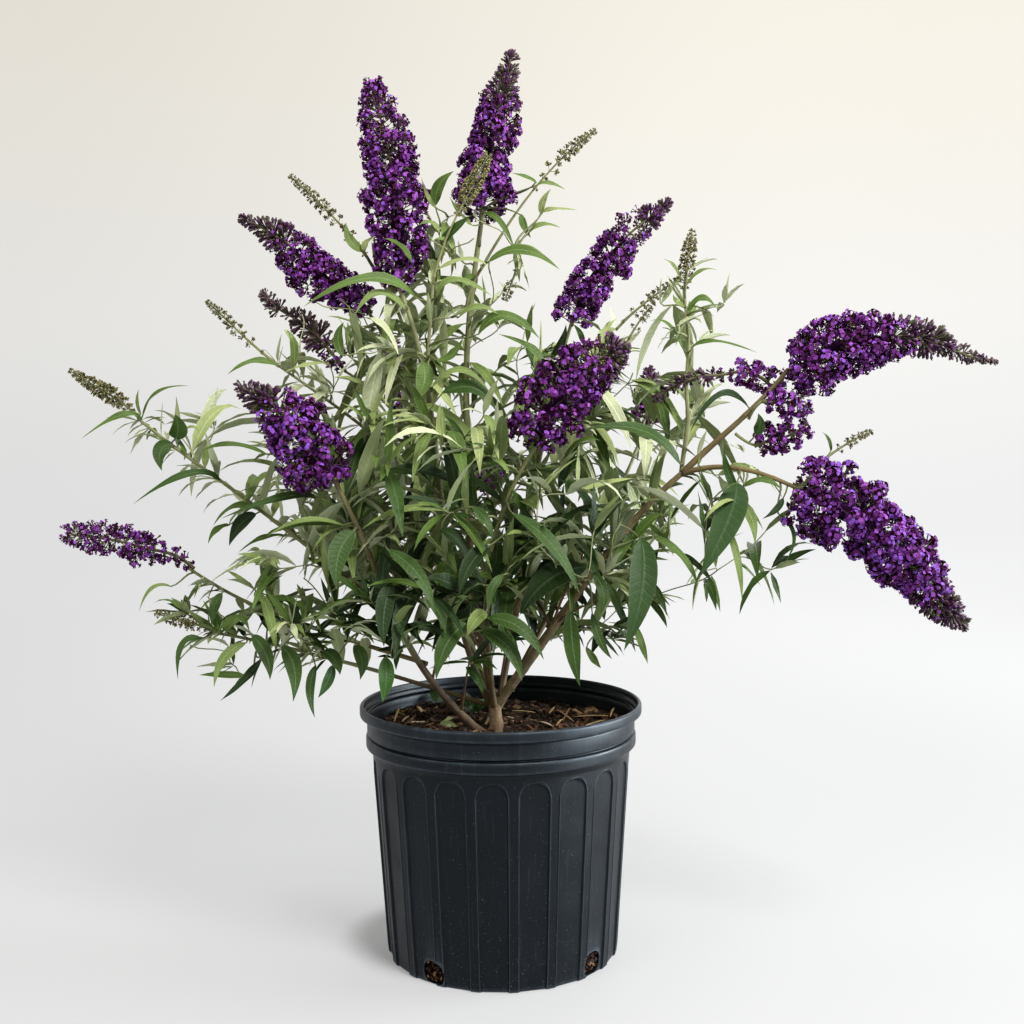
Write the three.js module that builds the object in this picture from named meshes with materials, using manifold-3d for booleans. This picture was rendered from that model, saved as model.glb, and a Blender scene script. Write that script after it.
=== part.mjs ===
// Butterfly bush in its round nursery pot.
// Millimetres, +Z up. The origin is the centre of the pot's flat underside.
import * as THREE from 'three';
import { mergeVertices } from 'three/addons/utils/BufferGeometryUtils.js';
import Module from 'manifold-3d';

const wasm = await Module();
wasm.setup();

// ---------------------------------------------------------------- driving sizes
const GAP = 0.9;                  // clearance kept between touching pieces

// pot
const POT_HEIGHT = 250;
const RIM_R = 140;                // outside of the rolled lip
const RIM_IN_R = 136.4;           // inside edge of the lip
const LIP_HEIGHT = 11;
const BAND_R = 133.2;             // recessed band under the lip
const BEAD_R = 133.9;             // second bead
const BEAD_TOP = 222;
const BEAD_LOW = 211;
const BODY_TOP_R = 127.9;         // tapered body, just under the bead
const BODY_TOP_Z = 204;
const BASE_R = 114.6;
const WALL = 3.1;
const FLOOR = 2.8;
const FLUTES = 20;
const FLUTE_TOP = 200;            // crown of each arched panel
const FLUTE_FOOT = 3;
const FLUTE_SHARE = 0.75;         // panel width as a share of the pitch
const FLUTE_DEPTH = 2.0;
const FLUTE_START = -4.1;         // degrees round from straight in front (-Y)
const HOLES = 4;
const HOLE_START = -40.1;
const HOLE_W = 20;
const HOLE_H = 24;
const ROUND = 40;                 // facets round the pot

// growing mix
const SOIL_LEVEL = 224;
const SOIL_ROUGH = 2.2;

// limbs: foot, two handles, tip, radius at the foot, radius at the tip, facets
const TRUNK_FLARE = 4.6;          // extra radius of the root flare
const LIMBS = {
  trunk: [[-4, -8, 220], [-4, -8, 234], [-6, -8, 247], [-8, -7, 259], 7.0, 7.2, 8],
  bough_right: [[-2, -9, 251], [58, -23, 327], [102, -39, 415], [175, -48, 477], 6.6, 3.6, 8],
  bough_right_upper: [[177, -50, 480], [207, -54, 510], [242, -62, 535], [272, -64, 574], 3.3, 1.9, 5],
  bough_right_lower: [[179, -49, 474], [208, -58, 490], [241, -78, 481], [273, -93, 464], 2.8, 1.9, 5],
  bough_right_spire: [[172, -44, 480], [183, -42, 532], [184, -34, 587], [180, -32, 643], 2.3, 1.4, 5],
  stem_left: [[-29, -22, 219], [-98, -59, 313], [-96, -108, 376], [-148, -108, 474], 3.8, 2.2, 6],
  stem_low_left: [[-12, -4, 246], [-104, 14, 273], [-185, -33, 309], [-278, -34, 327], 2.4, 1.4, 5],
  stem_left_outer: [[-70, -52, 297], [-152, -16, 318], [-236, 9, 332], [-310, 6, 386], 2.4, 1.5, 5],
  stem_far_left: [[-85, -70, 323], [-161, -5, 398], [-261, -26, 462], [-348, -22, 534], 2.5, 1.4, 5],
  stem_centre_left: [[-13, -9, 251], [-73, -18, 384], [-41, -38, 534], [-97, -4, 663], 3.6, 2.0, 6],
  stem_centre: [[-9, -6, 257], [-40, 36, 416], [-41, 47, 573], [-13, 36, 740], 4.2, 2.4, 6],
  stem_centre_right: [[-5, -14, 249], [-18, -47, 342], [-22, -97, 427], [34, -104, 503], 3.0, 2.0, 5],
  stem_right_back: [[0, -1, 249], [29, 45, 375], [37, 60, 508], [77, 54, 631], 3.2, 1.8, 5],
  stem_back_left: [[-10, 0, 246], [-39, 79, 340], [-94, 134, 429], [-108, 168, 544], 3.2, 1.8, 5],
  stem_back_right: [[-4, 0, 241], [50, 78, 328], [119, 128, 409], [160, 164, 513], 3.2, 1.8, 5],
};

// stems of the middle of the bush, which end where they enter the leaves
const INNER_STEMS = ['stem_centre_left', 'stem_centre', 'stem_centre_right', 'stem_right_back',
  'stem_back_left', 'stem_back_right'];
const INTO_LEAVES = 7;            // how far an inner stem reaches into its mass

// flower heads: foot, two handles, tip, then the radius at the foot, the fullest
// radius, where along the head that falls, the radius at the tip and how
// quickly the head narrows past its fullest place, and the bare share of its stalk
const PANICLES = {
  panicle_top_left: [[-102, -4, 655], [-81, -3, 724], [-106, 4, 795], [-118, 10, 864], 8, 31, 0.38, 6, 0.7],
  panicle_top_centre: [[-17, 36, 704], [-11, 36, 772], [3, 36, 830], [15, 36, 892], 16, 28, 0.15, 4, 0.6, 0.15],
  panicle_upper_left: [[-127, 44, 639], [-167, 41, 674], [-206, 37, 711], [-255, 35, 733], 10, 26, 0.35, 4, 0.65],
  panicle_left_faded: [[-157, 66, 581], [-180, 65, 613], [-211, 59, 638], [-241, 60, 663], 9, 17, 0.2, 4, 0.8],
  panicle_left_middle: [[-146, -108, 469], [-167, -109, 507], [-196, -103, 539], [-232, -100, 562], 12, 33, 0.3, 5, 0.8],
  panicle_upper_right: [[76, 54, 625], [91, 53, 683], [140, 49, 708], [177, 50, 748], 14, 28, 0.3, 5, 0.8],
  panicle_right_middle: [[34, -104, 497], [36, -104, 542], [77, -104, 574], [115, -104, 589], 14, 36, 0.45, 6, 0.7],
  panicle_right_upper: [[268, -64, 572], [340, -68, 616], [394, -68, 604], [469, -68, 579], 12, 28, 0.28, 3.5, 1.6],
  panicle_right_side: [[262, -50, 549], [248, -49, 584], [164, -41, 564], [147, -42, 549], 8, 15, 0.18, 5, 1.2],
  panicle_right_fork: [[246, -72, 544], [260, -74, 540], [272, -76, 548], [288, -78, 537], 8, 16, 0.55, 8, 0.8],
  panicle_right_small: [[240, -68, 502], [256, -69, 510], [271, -70, 513], [286, -72, 521], 8, 15, 0.5, 8, 0.8],
  panicle_right_lower: [[268, -91, 467], [335, -103, 443], [373, -111, 380], [425, -112, 336], 14, 34, 0.28, 4, 0.75],
  panicle_low_left: [[-304, 6, 384], [-343, 6, 405], [-385, 6, 412], [-426, 6, 420], 9, 18, 0.65, 7, 0.5],
  panicle_back_left: [[-106, 168, 532], [-115, 192, 566], [-123, 212, 600], [-128, 230, 636], 9, 22, 0.45, 5, 0.8],
  panicle_back_right: [[157, 166, 508], [168, 188, 535], [176, 210, 561], [177, 232, 590], 9, 21, 0.45, 5, 0.8],
  panicle_back_centre: [[-12, 196, 438], [-16, 250, 476], [-12, 300, 484], [-2, 350, 462], 10, 25, 0.35, 4, 0.8, 0.15],
};

// shoots that end in closed buds: the same numbers, and the bare share of the shoot
const BUD_SHOOTS = {
  bud_spike_upper_left: [[-118, 20, 676], [-149, 22, 725], [-178, 22, 748], [-205, 22, 774], 4, 9, 0.35, 3, 0.8, 0.15],
  bud_spike_left: [[-214, -10, 585], [-244, -12, 608], [-263, -12, 631], [-282, -12, 647], 3, 9, 0.35, 3, 0.9, 0.18],
  bud_spike_far_left: [[-345, -22, 532], [-362, -22, 554], [-389, -22, 564], [-411, -22, 580], 4, 11, 0.35, 3.5, 0.9, 0],
  bud_spike_low_left: [[-275, -34, 326], [-292, -34, 338], [-314, -34, 338], [-333, -34, 347], 4, 9, 0.35, 3, 0.8, 0],
  bud_spike_centre: [[-61, -26, 659], [-54, -24, 705], [-26, -23, 743], [-7, -16, 784], 4, 10, 0.4, 3.5, 0.6, 0.5],
  bud_spike_upper_right: [[-14, 34, 684], [19, 30, 740], [55, 29, 786], [101, 30, 818], 4, 10, 0.3, 3, 0.8, 0.5],
  bud_spike_right: [[180, -32, 640], [179, -30, 664], [184, -28, 686], [188, -26, 708], 4, 10, 0.35, 3.5, 0.7, 0],
};

// leaf masses: centre, half sizes, tilt in the X-Z plane in degrees
const LEAF_MASSES = {
  foliage_top: [[-44, 2, 672], [58, 52, 46], 0],
  foliage_upper_centre: [[-24, 62, 598], [72, 66, 58], 0],
  foliage_upper_left: [[-143, -10, 604], [66, 56, 56], 15],
  foliage_upper_right: [[72, 16, 575], [62, 56, 58], 0],
  foliage_right_spire: [[184, -32, 630], [42, 30, 44], 0],
  foliage_far_left: [[-321, -22, 523], [44, 22, 30], -20],
  foliage_left: [[-236, 12, 488], [74, 62, 58], -30],
  foliage_left_front: [[-122, -36, 480], [60, 60, 72], 0],
  foliage_centre_front: [[-40, -98, 472], [68, 78, 76], 0],
  foliage_right_front: [[58, -104, 426], [70, 64, 62], 25],
  foliage_right: [[146, 24, 534], [68, 68, 62], -10],
  foliage_right_outer: [[213, -72, 432], [66, 50, 64], -35],
  foliage_left_low: [[-172, -68, 374], [76, 62, 54], -15],
  foliage_low_left: [[-254, -24, 306], [70, 46, 54], -8],
  foliage_low_front: [[-58, -116, 352], [82, 52, 54], 0],
  foliage_low_right: [[104, 6, 366], [68, 64, 62], 35],
  foliage_back: [[-20, 116, 450], [94, 106, 86], 0],
  foliage_back_left: [[-148, 122, 400], [78, 82, 74], 0],
  foliage_back_right: [[126, 140, 450], [70, 74, 74], 0],
  foliage_back_low: [[6, 142, 338], [90, 74, 54], 0],
};
const UNEVEN = 0.14;              // how far a mass's skin wanders, as a share of its size

// ---------------------------------------------------------------- helpers
const V = (a) => new THREE.Vector3(...a);
const rad = THREE.MathUtils.degToRad;

// a closed geometry with only its positions, shared vertices merged
function closed(geometry) {
  geometry.deleteAttribute('normal');
  geometry.deleteAttribute('uv');
  return mergeVertices(geometry, 1e-4);
}

function toSolid(geometry) {
  const g = closed(geometry);
  return new wasm.Manifold(new wasm.Mesh({
    numProp: 3,
    vertProperties: new Float32Array(g.attributes.position.array),
    triVerts: new Uint32Array(g.index.array),
  }));
}

function toGeometry(solid) {
  const m = solid.getMesh();
  const p = new Float32Array(m.numVert * 3);
  for (let i = 0; i < m.numVert; i++) {
    for (let k = 0; k < 3; k++) p[3 * i + k] = m.vertProperties[m.numProp * i + k];
  }
  const g = new THREE.BufferGeometry();
  g.setAttribute('position', new THREE.BufferAttribute(p, 3));
  g.setIndex(new THREE.BufferAttribute(new Uint32Array(m.triVerts), 1));
  g.computeVertexNormals();
  return g;
}

const curveOf = (row) => new THREE.CubicBezierCurve3(V(row[0]), V(row[1]), V(row[2]), V(row[3]));

// a cylinder bent along a curve; radius(t, angle) gives its section
function bent(curve, radius, sides, steps, longer = 0) {
  const g = new THREE.CylinderGeometry(1, 1, 1, sides, steps);
  const p = g.attributes.position;
  const side = new THREE.Vector3();
  const across = new THREE.Vector3();
  const spot = new THREE.Vector3();
  const tangent = new THREE.Vector3();
  const chord = curve.getPoint(1).sub(curve.getPoint(0)).normalize();
  const hint = Math.abs(chord.y) < 0.8 ? new THREE.Vector3(0, 1, 0) : new THREE.Vector3(1, 0, 0);
  for (let i = 0; i < p.count; i++) {
    const t = THREE.MathUtils.clamp(p.getY(i) + 0.5, 0, 1);
    const x = p.getX(i);
    const z = p.getZ(i);
    const r = Math.hypot(x, z) * radius(t, Math.atan2(z, x));
    const a = Math.atan2(z, x);
    curve.getPoint(t, spot);
    curve.getTangent(t, tangent);
    side.crossVectors(tangent, hint).normalize();
    across.crossVectors(side, tangent).normalize();
    spot.addScaledVector(tangent, longer * (t < 1e-6 ? -1 : t > 1 - 1e-6 ? 1 : 0));
    spot.addScaledVector(side, r * Math.cos(a)).addScaledVector(across, r * Math.sin(a));
    p.setXYZ(i, spot.x, spot.y, spot.z);
  }
  return g;
}

// the part of a curve from its foot to `share` of its way
class Piece extends THREE.Curve {
  constructor(whole, share) {
    super();
    this.whole = whole;
    this.share = share;
  }

  getPoint(t, target = new THREE.Vector3()) {
    return this.whole.getPoint(t * this.share, target);
  }
}

// how far along a curve it first meets a leaf mass, as a share of its length
function entry(curve) {
  const q = new THREE.Vector3();
  for (let t = 0; t <= 1; t += 0.005) {
    for (const [centre, half] of Object.values(LEAF_MASSES)) {
      curve.getPoint(t, q).sub(V(centre)).divide(V(half));
      if (q.length() < 1) return t;
    }
  }
  return 1;
}

function limb(name, grow = 0) {
  const row = LIMBS[name];
  const [r0, r1, sides] = row.slice(4);
  const flare = name === 'trunk' ? TRUNK_FLARE : name.startsWith('stem') ? 0.5 : 0.8;
  let curve = curveOf(row);
  let share = 1;
  if (INNER_STEMS.includes(name)) {
    share = Math.min(1, entry(curve) + INTO_LEAVES / curve.getLength());
    curve = new Piece(curve, share);
  }
  const radius = (t) => r0 + (r1 - r0) * t * share + flare * Math.exp(-7 * t) + grow;
  return bent(curve, radius, sides, name === 'trunk' || share < 0.6 ? 3 : 5, grow);
}

// the outline of a head of flowers or buds along its length
function headRadius(t, foot, full, where, tip, fall) {
  if (t < where) return foot + (full - foot) * Math.sin((Math.PI / 2) * (t / where));
  return tip + (full - tip) * Math.cos((Math.PI / 2) * ((t - where) / (1 - where))) ** fall;
}

function head(row, seed, grow = 0) {
  const [foot, full, where, tip, fall, bare = 0] = row.slice(4);
  const radius = (t, a) => {
    if (t < bare) return 2.2 + grow;
    const u = (t - bare) / (1 - bare);
    const wave = full > 12 && u > 0.05 && u < 0.95 ? 1 + 0.07 * Math.sin(3 * a + seed + 9 * u) : 1;
    return headRadius(Math.min(u, 1), foot, full, where, tip, fall) * wave + grow;
  };
  const small = full < 12;
  return bent(curveOf(row), radius, small ? 5 : 7, small ? 5 : 6, grow);
}

// an uneven lump of leaves
function lump(row, seed, grow = 0) {
  const [centre, half, tilt] = row;
  const g = new THREE.SphereGeometry(1, 9, 6);
  const p = g.attributes.position;
  const q = new THREE.Vector3();
  for (let i = 0; i < p.count; i++) {
    q.fromBufferAttribute(p, i).normalize();
    const wave = Math.sin(3.1 * q.x + seed) * Math.sin(2.7 * q.y + 1.7 * seed)
      + 0.7 * Math.sin(4.3 * q.z + 2.3 * seed + 2.1 * q.x)
      + 0.5 * Math.sin(5.9 * q.y - seed + 3.3 * q.z);
    const k = 1 + (UNEVEN / 1.6) * wave;
    q.set(q.x * (half[0] * k + grow), q.y * (half[1] * k + grow), q.z * (half[2] * k + grow));
    q.applyAxisAngle(new THREE.Vector3(0, -1, 0), rad(tilt)).add(V(centre));
    p.setXYZ(i, q.x, q.y, q.z);
  }
  return g;
}

function lathe(points, facets) {
  const g = new THREE.LatheGeometry(points.map(([r, z]) => new THREE.Vector2(r, z)), facets);
  return g.rotateX(Math.PI / 2);
}

// ---------------------------------------------------------------- pot
const bodyR = (z) => BASE_R + ((BODY_TOP_R - BASE_R) * z) / BODY_TOP_Z;
const lean = Math.atan((BODY_TOP_R - BASE_R) / BODY_TOP_Z);

function potShell() {
  const h = POT_HEIGHT;
  const lip = h - LIP_HEIGHT;
  const outside = [
    [0, 0], [BASE_R - 2.6, 0], [BASE_R, 2.4], [BODY_TOP_R, BODY_TOP_Z],
    [BEAD_R, BEAD_LOW], [BEAD_R, BEAD_TOP - 2],
    [BAND_R - 0.7, BEAD_TOP], [BAND_R, lip],
    [RIM_R, lip + 1.2], [RIM_R, h - 1.8], [RIM_R - 1.4, h],
  ];
  const inside = [
    [RIM_IN_R, h], [BAND_R - 2.2, lip - 2],
    [BEAD_R - 3.4, BEAD_LOW], [BODY_TOP_R - WALL, BODY_TOP_Z - 1],
    [BASE_R - WALL, FLOOR], [0, FLOOR],
  ];
  return toSolid(lathe([...outside, ...inside], ROUND).rotateZ(rad(FLUTE_START)));
}

// an arched panel shape, foot at y = 0, crown at y = height
function arch(w0, w1, height, segments) {
  const s = new THREE.Shape();
  const spring = height - w1;
  s.moveTo(-w0, 0).lineTo(w0, 0).lineTo(w1, spring);
  for (let i = 1; i < segments; i++) {
    const a = (Math.PI * i) / segments;
    s.lineTo(w1 * Math.cos(a), spring + w1 * Math.sin(a));
  }
  s.lineTo(-w1, spring).closePath();
  return s;
}

// stands a flat cutter against the leaning wall, its near face `inset` deep
function againstWall(geometry, degrees, foot, inset) {
  geometry.rotateX(Math.PI / 2);                                  // shape up, depth towards -Y
  geometry.rotateX(lean).translate(0, -(bodyR(foot) - inset), foot);
  geometry.rotateZ(rad(degrees));
  return toSolid(geometry);
}

function pot() {
  let solid = potShell();
  const pitch = 360 / FLUTES;
  const half = (r) => (Math.PI * r * FLUTE_SHARE) / FLUTES;
  for (let i = 0; i < FLUTES; i++) {
    const shape = arch(half(BASE_R), half(BODY_TOP_R), FLUTE_TOP - FLUTE_FOOT, 3);
    const cutter = new THREE.ExtrudeGeometry(shape, { depth: 8, bevelEnabled: false });
    solid = solid.subtract(againstWall(cutter, FLUTE_START + i * pitch, FLUTE_FOOT, FLUTE_DEPTH));
  }
  for (let i = 0; i < HOLES; i++) {
    const shape = arch(HOLE_W / 2, HOLE_W / 2, HOLE_H + 4, 4);
    const cutter = new THREE.ExtrudeGeometry(shape, { depth: 16, bevelEnabled: false });
    solid = solid.subtract(againstWall(cutter, HOLE_START + (i * 360) / HOLES, -4, 9));
  }
  return solid;
}

// ---------------------------------------------------------------- growing mix
function soil() {
  const inner = Math.cos(Math.PI / ROUND);                         // flats of the pot's inside
  const in0 = (BASE_R - WALL) * inner - 0.6;
  const in1 = (BODY_TOP_R - WALL) * inner - 0.6;
  const rim = (BEAD_R - 3.4) * inner - 0.6;
  const g = lathe([
    [0, FLOOR + 0.6], [in0, FLOOR + 0.6], [in1, BODY_TOP_Z - 2], [rim, BEAD_LOW + 2], [rim, SOIL_LEVEL],
    [rim * 0.84, SOIL_LEVEL], [rim * 0.6, SOIL_LEVEL], [rim * 0.32, SOIL_LEVEL], [0, SOIL_LEVEL],
  ], ROUND / 2).rotateZ(rad(FLUTE_START));
  const p = g.attributes.position;
  for (let i = 0; i < p.count; i++) {
    if (p.getZ(i) < SOIL_LEVEL - 0.5) continue;
    const x = p.getX(i);
    const y = p.getY(i);
    const wave = Math.sin(x / 17 + 0.6) * Math.cos(y / 14 - 0.3) + 0.6 * Math.sin((x + 2 * y) / 23);
    const dish = 2.5 * (1 - Math.hypot(x, y) / rim);
    p.setZ(i, SOIL_LEVEL + SOIL_ROUGH * wave - dish);
  }
  return toSolid(g);
}

// ---------------------------------------------------------------- assembly
const COLOUR = {
  pot: [0x23262b, 0.5], soil: [0x3b2a20, 0.95], trunk: [0x8d7a62, 0.85], stem: [0x7c7a5c, 0.8],
  panicle: [0x4b1f7d, 0.8], bud: [0x7b7350, 0.85], leaf: [0x5f7050, 0.75],
};
const object = new THREE.Group();
object.name = 'butterfly_bush';
const placed = [];                 // grown copies of the pieces placed so far

function boxesMeet(a, b) {
  return [0, 1, 2].every((k) => a.min[k] <= b.max[k] && b.min[k] <= a.max[k]);
}

// cuts a piece round everything already placed, keeps its main body and places it
function place(name, solid, grown, [colour, roughness]) {
  const box = solid.boundingBox();
  for (const other of placed) {
    if (boxesMeet(box, other.box)) solid = solid.subtract(other.solid);
  }
  const largest = (m) => m.decompose().sort((a, b) => b.volume() - a.volume())[0];
  solid = largest(largest(solid).simplify(name.startsWith('foliage') ? 0.45 : 0.12));
  const material = new THREE.MeshStandardMaterial({ color: colour, roughness, metalness: 0 });
  const mesh = new THREE.Mesh(toGeometry(solid), material);
  mesh.name = name;
  object.add(mesh);
  placed.push({ solid: grown, box: grown.boundingBox() });
}

const potSolid = pot();
place('pot', potSolid, potSolid, COLOUR.pot);
for (const name of Object.keys(LIMBS)) {
  place(name, toSolid(limb(name)), toSolid(limb(name, GAP)), name.match(/trunk|bough/) ? COLOUR.trunk : COLOUR.stem);
}
const soilSolid = soil();
place('soil', soilSolid, soilSolid, COLOUR.soil);
let seed = 1;
for (const [name, row] of Object.entries(PANICLES)) {
  place(name, toSolid(head(row, seed)), toSolid(head(row, seed, GAP)), COLOUR.panicle);
  seed += 1.3;
}
for (const [name, row] of Object.entries(BUD_SHOOTS)) {
  place(name, toSolid(head(row, seed)), toSolid(head(row, seed, GAP)), COLOUR.bud);
  seed += 1.3;
}
for (const [name, row] of Object.entries(LEAF_MASSES)) {
  place(name, toSolid(lump(row, seed)), toSolid(lump(row, seed, GAP)), COLOUR.leaf);
  seed += 1.3;
}

export default object;
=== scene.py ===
"""Butterfly bush in its nursery pot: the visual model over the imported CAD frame."""
import math

import bpy
import numpy as np
from mathutils import Matrix


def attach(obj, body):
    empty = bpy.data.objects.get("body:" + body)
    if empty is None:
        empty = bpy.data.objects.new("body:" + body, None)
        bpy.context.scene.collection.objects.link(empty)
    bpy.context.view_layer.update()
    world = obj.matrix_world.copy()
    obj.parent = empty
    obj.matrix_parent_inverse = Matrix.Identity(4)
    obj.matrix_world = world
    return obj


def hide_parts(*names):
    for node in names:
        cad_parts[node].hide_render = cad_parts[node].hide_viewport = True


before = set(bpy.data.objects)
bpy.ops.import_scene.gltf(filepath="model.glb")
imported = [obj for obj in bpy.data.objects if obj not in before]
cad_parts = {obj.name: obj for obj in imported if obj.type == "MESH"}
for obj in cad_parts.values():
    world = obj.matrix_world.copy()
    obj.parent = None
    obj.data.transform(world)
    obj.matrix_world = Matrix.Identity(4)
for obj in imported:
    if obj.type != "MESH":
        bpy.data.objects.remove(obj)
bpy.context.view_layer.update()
MM = 0.001
rng = np.random.default_rng(41)
UP = np.array([0.0, 0.0, 1.0])


# ---------------------------------------------------------------- camera, floor and lights
CAM_D, CAM_H, PITCH, FOCAL, ROLL, YAW = 1279.158, 516.283, 3.476, 1294.503, -0.51, 0.579
CAM = np.array([0.0, -CAM_D, CAM_H])
_p, _y, _r = np.radians([PITCH, YAW, ROLL])
FWD = np.array([math.sin(_y) * math.cos(_p), math.cos(_y) * math.cos(_p), -math.sin(_p)])
_right = np.cross(FWD, UP)
_right /= np.linalg.norm(_right)
_up = np.cross(_right, FWD)
R2 = _right * math.cos(_r) + _up * math.sin(_r)
U2 = -_right * math.sin(_r) + _up * math.cos(_r)


def spot(u, v, y):
    """The place, in mm, that the photograph's frame shows at (u, v) and at depth y."""
    d = FWD * FOCAL + R2 * (u - 512) - U2 * (v - 512)
    return CAM + d * (y - CAM[1]) / d[1]


def frame_px(p):
    d = np.atleast_2d(p) - CAM
    z = d @ FWD
    return np.stack([512 + FOCAL * (d @ R2) / z, 512 - FOCAL * (d @ U2) / z], 1)


def make_camera():
    data = bpy.data.cameras.new("camera")
    data.sensor_width = 36.0
    data.lens = 36.0 * FOCAL / 1024.0
    data.clip_start, data.clip_end = 0.05, 60
    cam = bpy.data.objects.new("camera", data)
    bpy.context.collection.objects.link(cam)
    m = np.eye(4)
    m[:3, 0], m[:3, 1], m[:3, 2], m[:3, 3] = R2, U2, -FWD, CAM * MM
    cam.matrix_world = Matrix(m.tolist())
    bpy.context.scene.camera = cam


def area(name, place, target, size, power, colour, gloss_only=False):
    data = bpy.data.lights.new(name, "AREA")
    data.shape, data.size, data.energy, data.color = "DISK", size, power, colour
    ob = bpy.data.objects.new(name, data)
    bpy.context.collection.objects.link(ob)
    z = np.array(place, float) - np.array(target, float)
    z /= np.linalg.norm(z)
    x = np.cross(UP, z)
    x /= np.linalg.norm(x)
    m = np.eye(4)
    m[:3, 0], m[:3, 1], m[:3, 2], m[:3, 3] = x, np.cross(z, x), z, place
    ob.matrix_world = Matrix(m.tolist())
    ob.visible_camera = False
    ob.visible_diffuse = not gloss_only
    return ob


# ---------------------------------------------------------------- materials
def lin(*c):
    c = np.array(c, float) / 255.0
    return tuple(np.where(c <= 0.04045, c / 12.92, ((c + 0.055) / 1.055) ** 2.4))


def material(name, rgb, rough=0.6, vary=0.15, scale=90.0, bump=0.15, bump_scale=500.0, detail=4.0,
             bump_dist=0.0004, sheen=0.0, spec=0.5, other=None, veins=0.0):
    """A principled surface whose colour wanders between two close tones, with a fine relief."""
    m = bpy.data.materials.new(name)
    m.use_nodes = True
    nt = m.node_tree
    s = nt.nodes["Principled BSDF"]
    s.inputs["Roughness"].default_value = rough
    s.inputs["Specular IOR Level"].default_value = spec
    if sheen:
        s.inputs["Sheen Weight"].default_value = sheen
        s.inputs["Sheen Roughness"].default_value = 0.5
    rgb = np.array(lin(*rgb))
    two = np.array(lin(*other)) if other else rgb * (1 + vary)
    one = rgb if other else rgb * (1 - vary)
    co = nt.nodes.new("ShaderNodeTexCoord")
    n = nt.nodes.new("ShaderNodeTexNoise")
    n.inputs["Scale"].default_value = scale
    n.inputs["Detail"].default_value = detail
    ramp = nt.nodes.new("ShaderNodeValToRGB")
    ramp.color_ramp.elements[0].position = 0.3
    ramp.color_ramp.elements[1].position = 0.7
    ramp.color_ramp.elements[0].color = (*np.clip(one, 0, 1), 1)
    ramp.color_ramp.elements[1].color = (*np.clip(two, 0, 1), 1)
    nt.links.new(co.outputs["Object"], n.inputs["Vector"])
    nt.links.new(n.outputs["Fac"], ramp.inputs["Fac"])
    nt.links.new(ramp.outputs["Color"], s.inputs["Base Color"])
    b = nt.nodes.new("ShaderNodeBump")
    b.inputs["Strength"].default_value = bump
    b.inputs["Distance"].default_value = bump_dist
    n2 = nt.nodes.new("ShaderNodeTexNoise")
    n2.inputs["Scale"].default_value = bump_scale
    n2.inputs["Detail"].default_value = 3
    nt.links.new(co.outputs["Object"], n2.inputs["Vector"])
    height = n2.outputs["Fac"]
    if veins:
        # the midrib and the side veins that run out and forward from it
        uv = nt.nodes.new("ShaderNodeUVMap")
        uv.uv_map = "leaf"
        sep = nt.nodes.new("ShaderNodeSeparateXYZ")
        nt.links.new(uv.outputs["UV"], sep.inputs[0])

        def calc(op, *args):
            k = nt.nodes.new("ShaderNodeMath")
            k.operation = op
            for n_, a in enumerate(args):
                if isinstance(a, (int, float)):
                    k.inputs[n_].default_value = a
                else:
                    nt.links.new(a, k.inputs[n_])
            return k.outputs[0]

        across = calc("ABSOLUTE", sep.outputs["X"])
        phase = calc("MULTIPLY_ADD", across, -1.1, sep.outputs["Y"])
        wave = calc("SINE", calc("MULTIPLY", phase, 6.2832))
        fine = calc("POWER", calc("MULTIPLY_ADD", wave, 0.5, 0.5), 6.0)
        rib = calc("SUBTRACT", 1.0, calc("MINIMUM", calc("MULTIPLY", across, 7.0), 1.0))
        height = calc("MULTIPLY_ADD", fine, -0.5, calc("MULTIPLY_ADD", rib, 0.9, height))
        margin = calc("MAXIMUM", calc("MULTIPLY_ADD", across, 6.0, -5.2), 0.0)
        lines = calc("MINIMUM", calc("MULTIPLY_ADD", fine, veins * 0.16, calc("MULTIPLY", calc("ADD", rib, margin), veins)), 1.0)
        tint = nt.nodes.new("ShaderNodeMix")
        tint.data_type = "RGBA"
        nt.links.new(lines, tint.inputs["Factor"])
        nt.links.new(ramp.outputs["Color"], tint.inputs["A"])
        tint.inputs["B"].default_value = (*np.clip(rgb * 1.7 + 0.055, 0, 1), 1)
        nt.links.new(tint.outputs["Result"], s.inputs["Base Color"])
    nt.links.new(height, b.inputs["Height"])
    nt.links.new(b.outputs["Normal"], s.inputs["Normal"])
    return m


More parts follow.
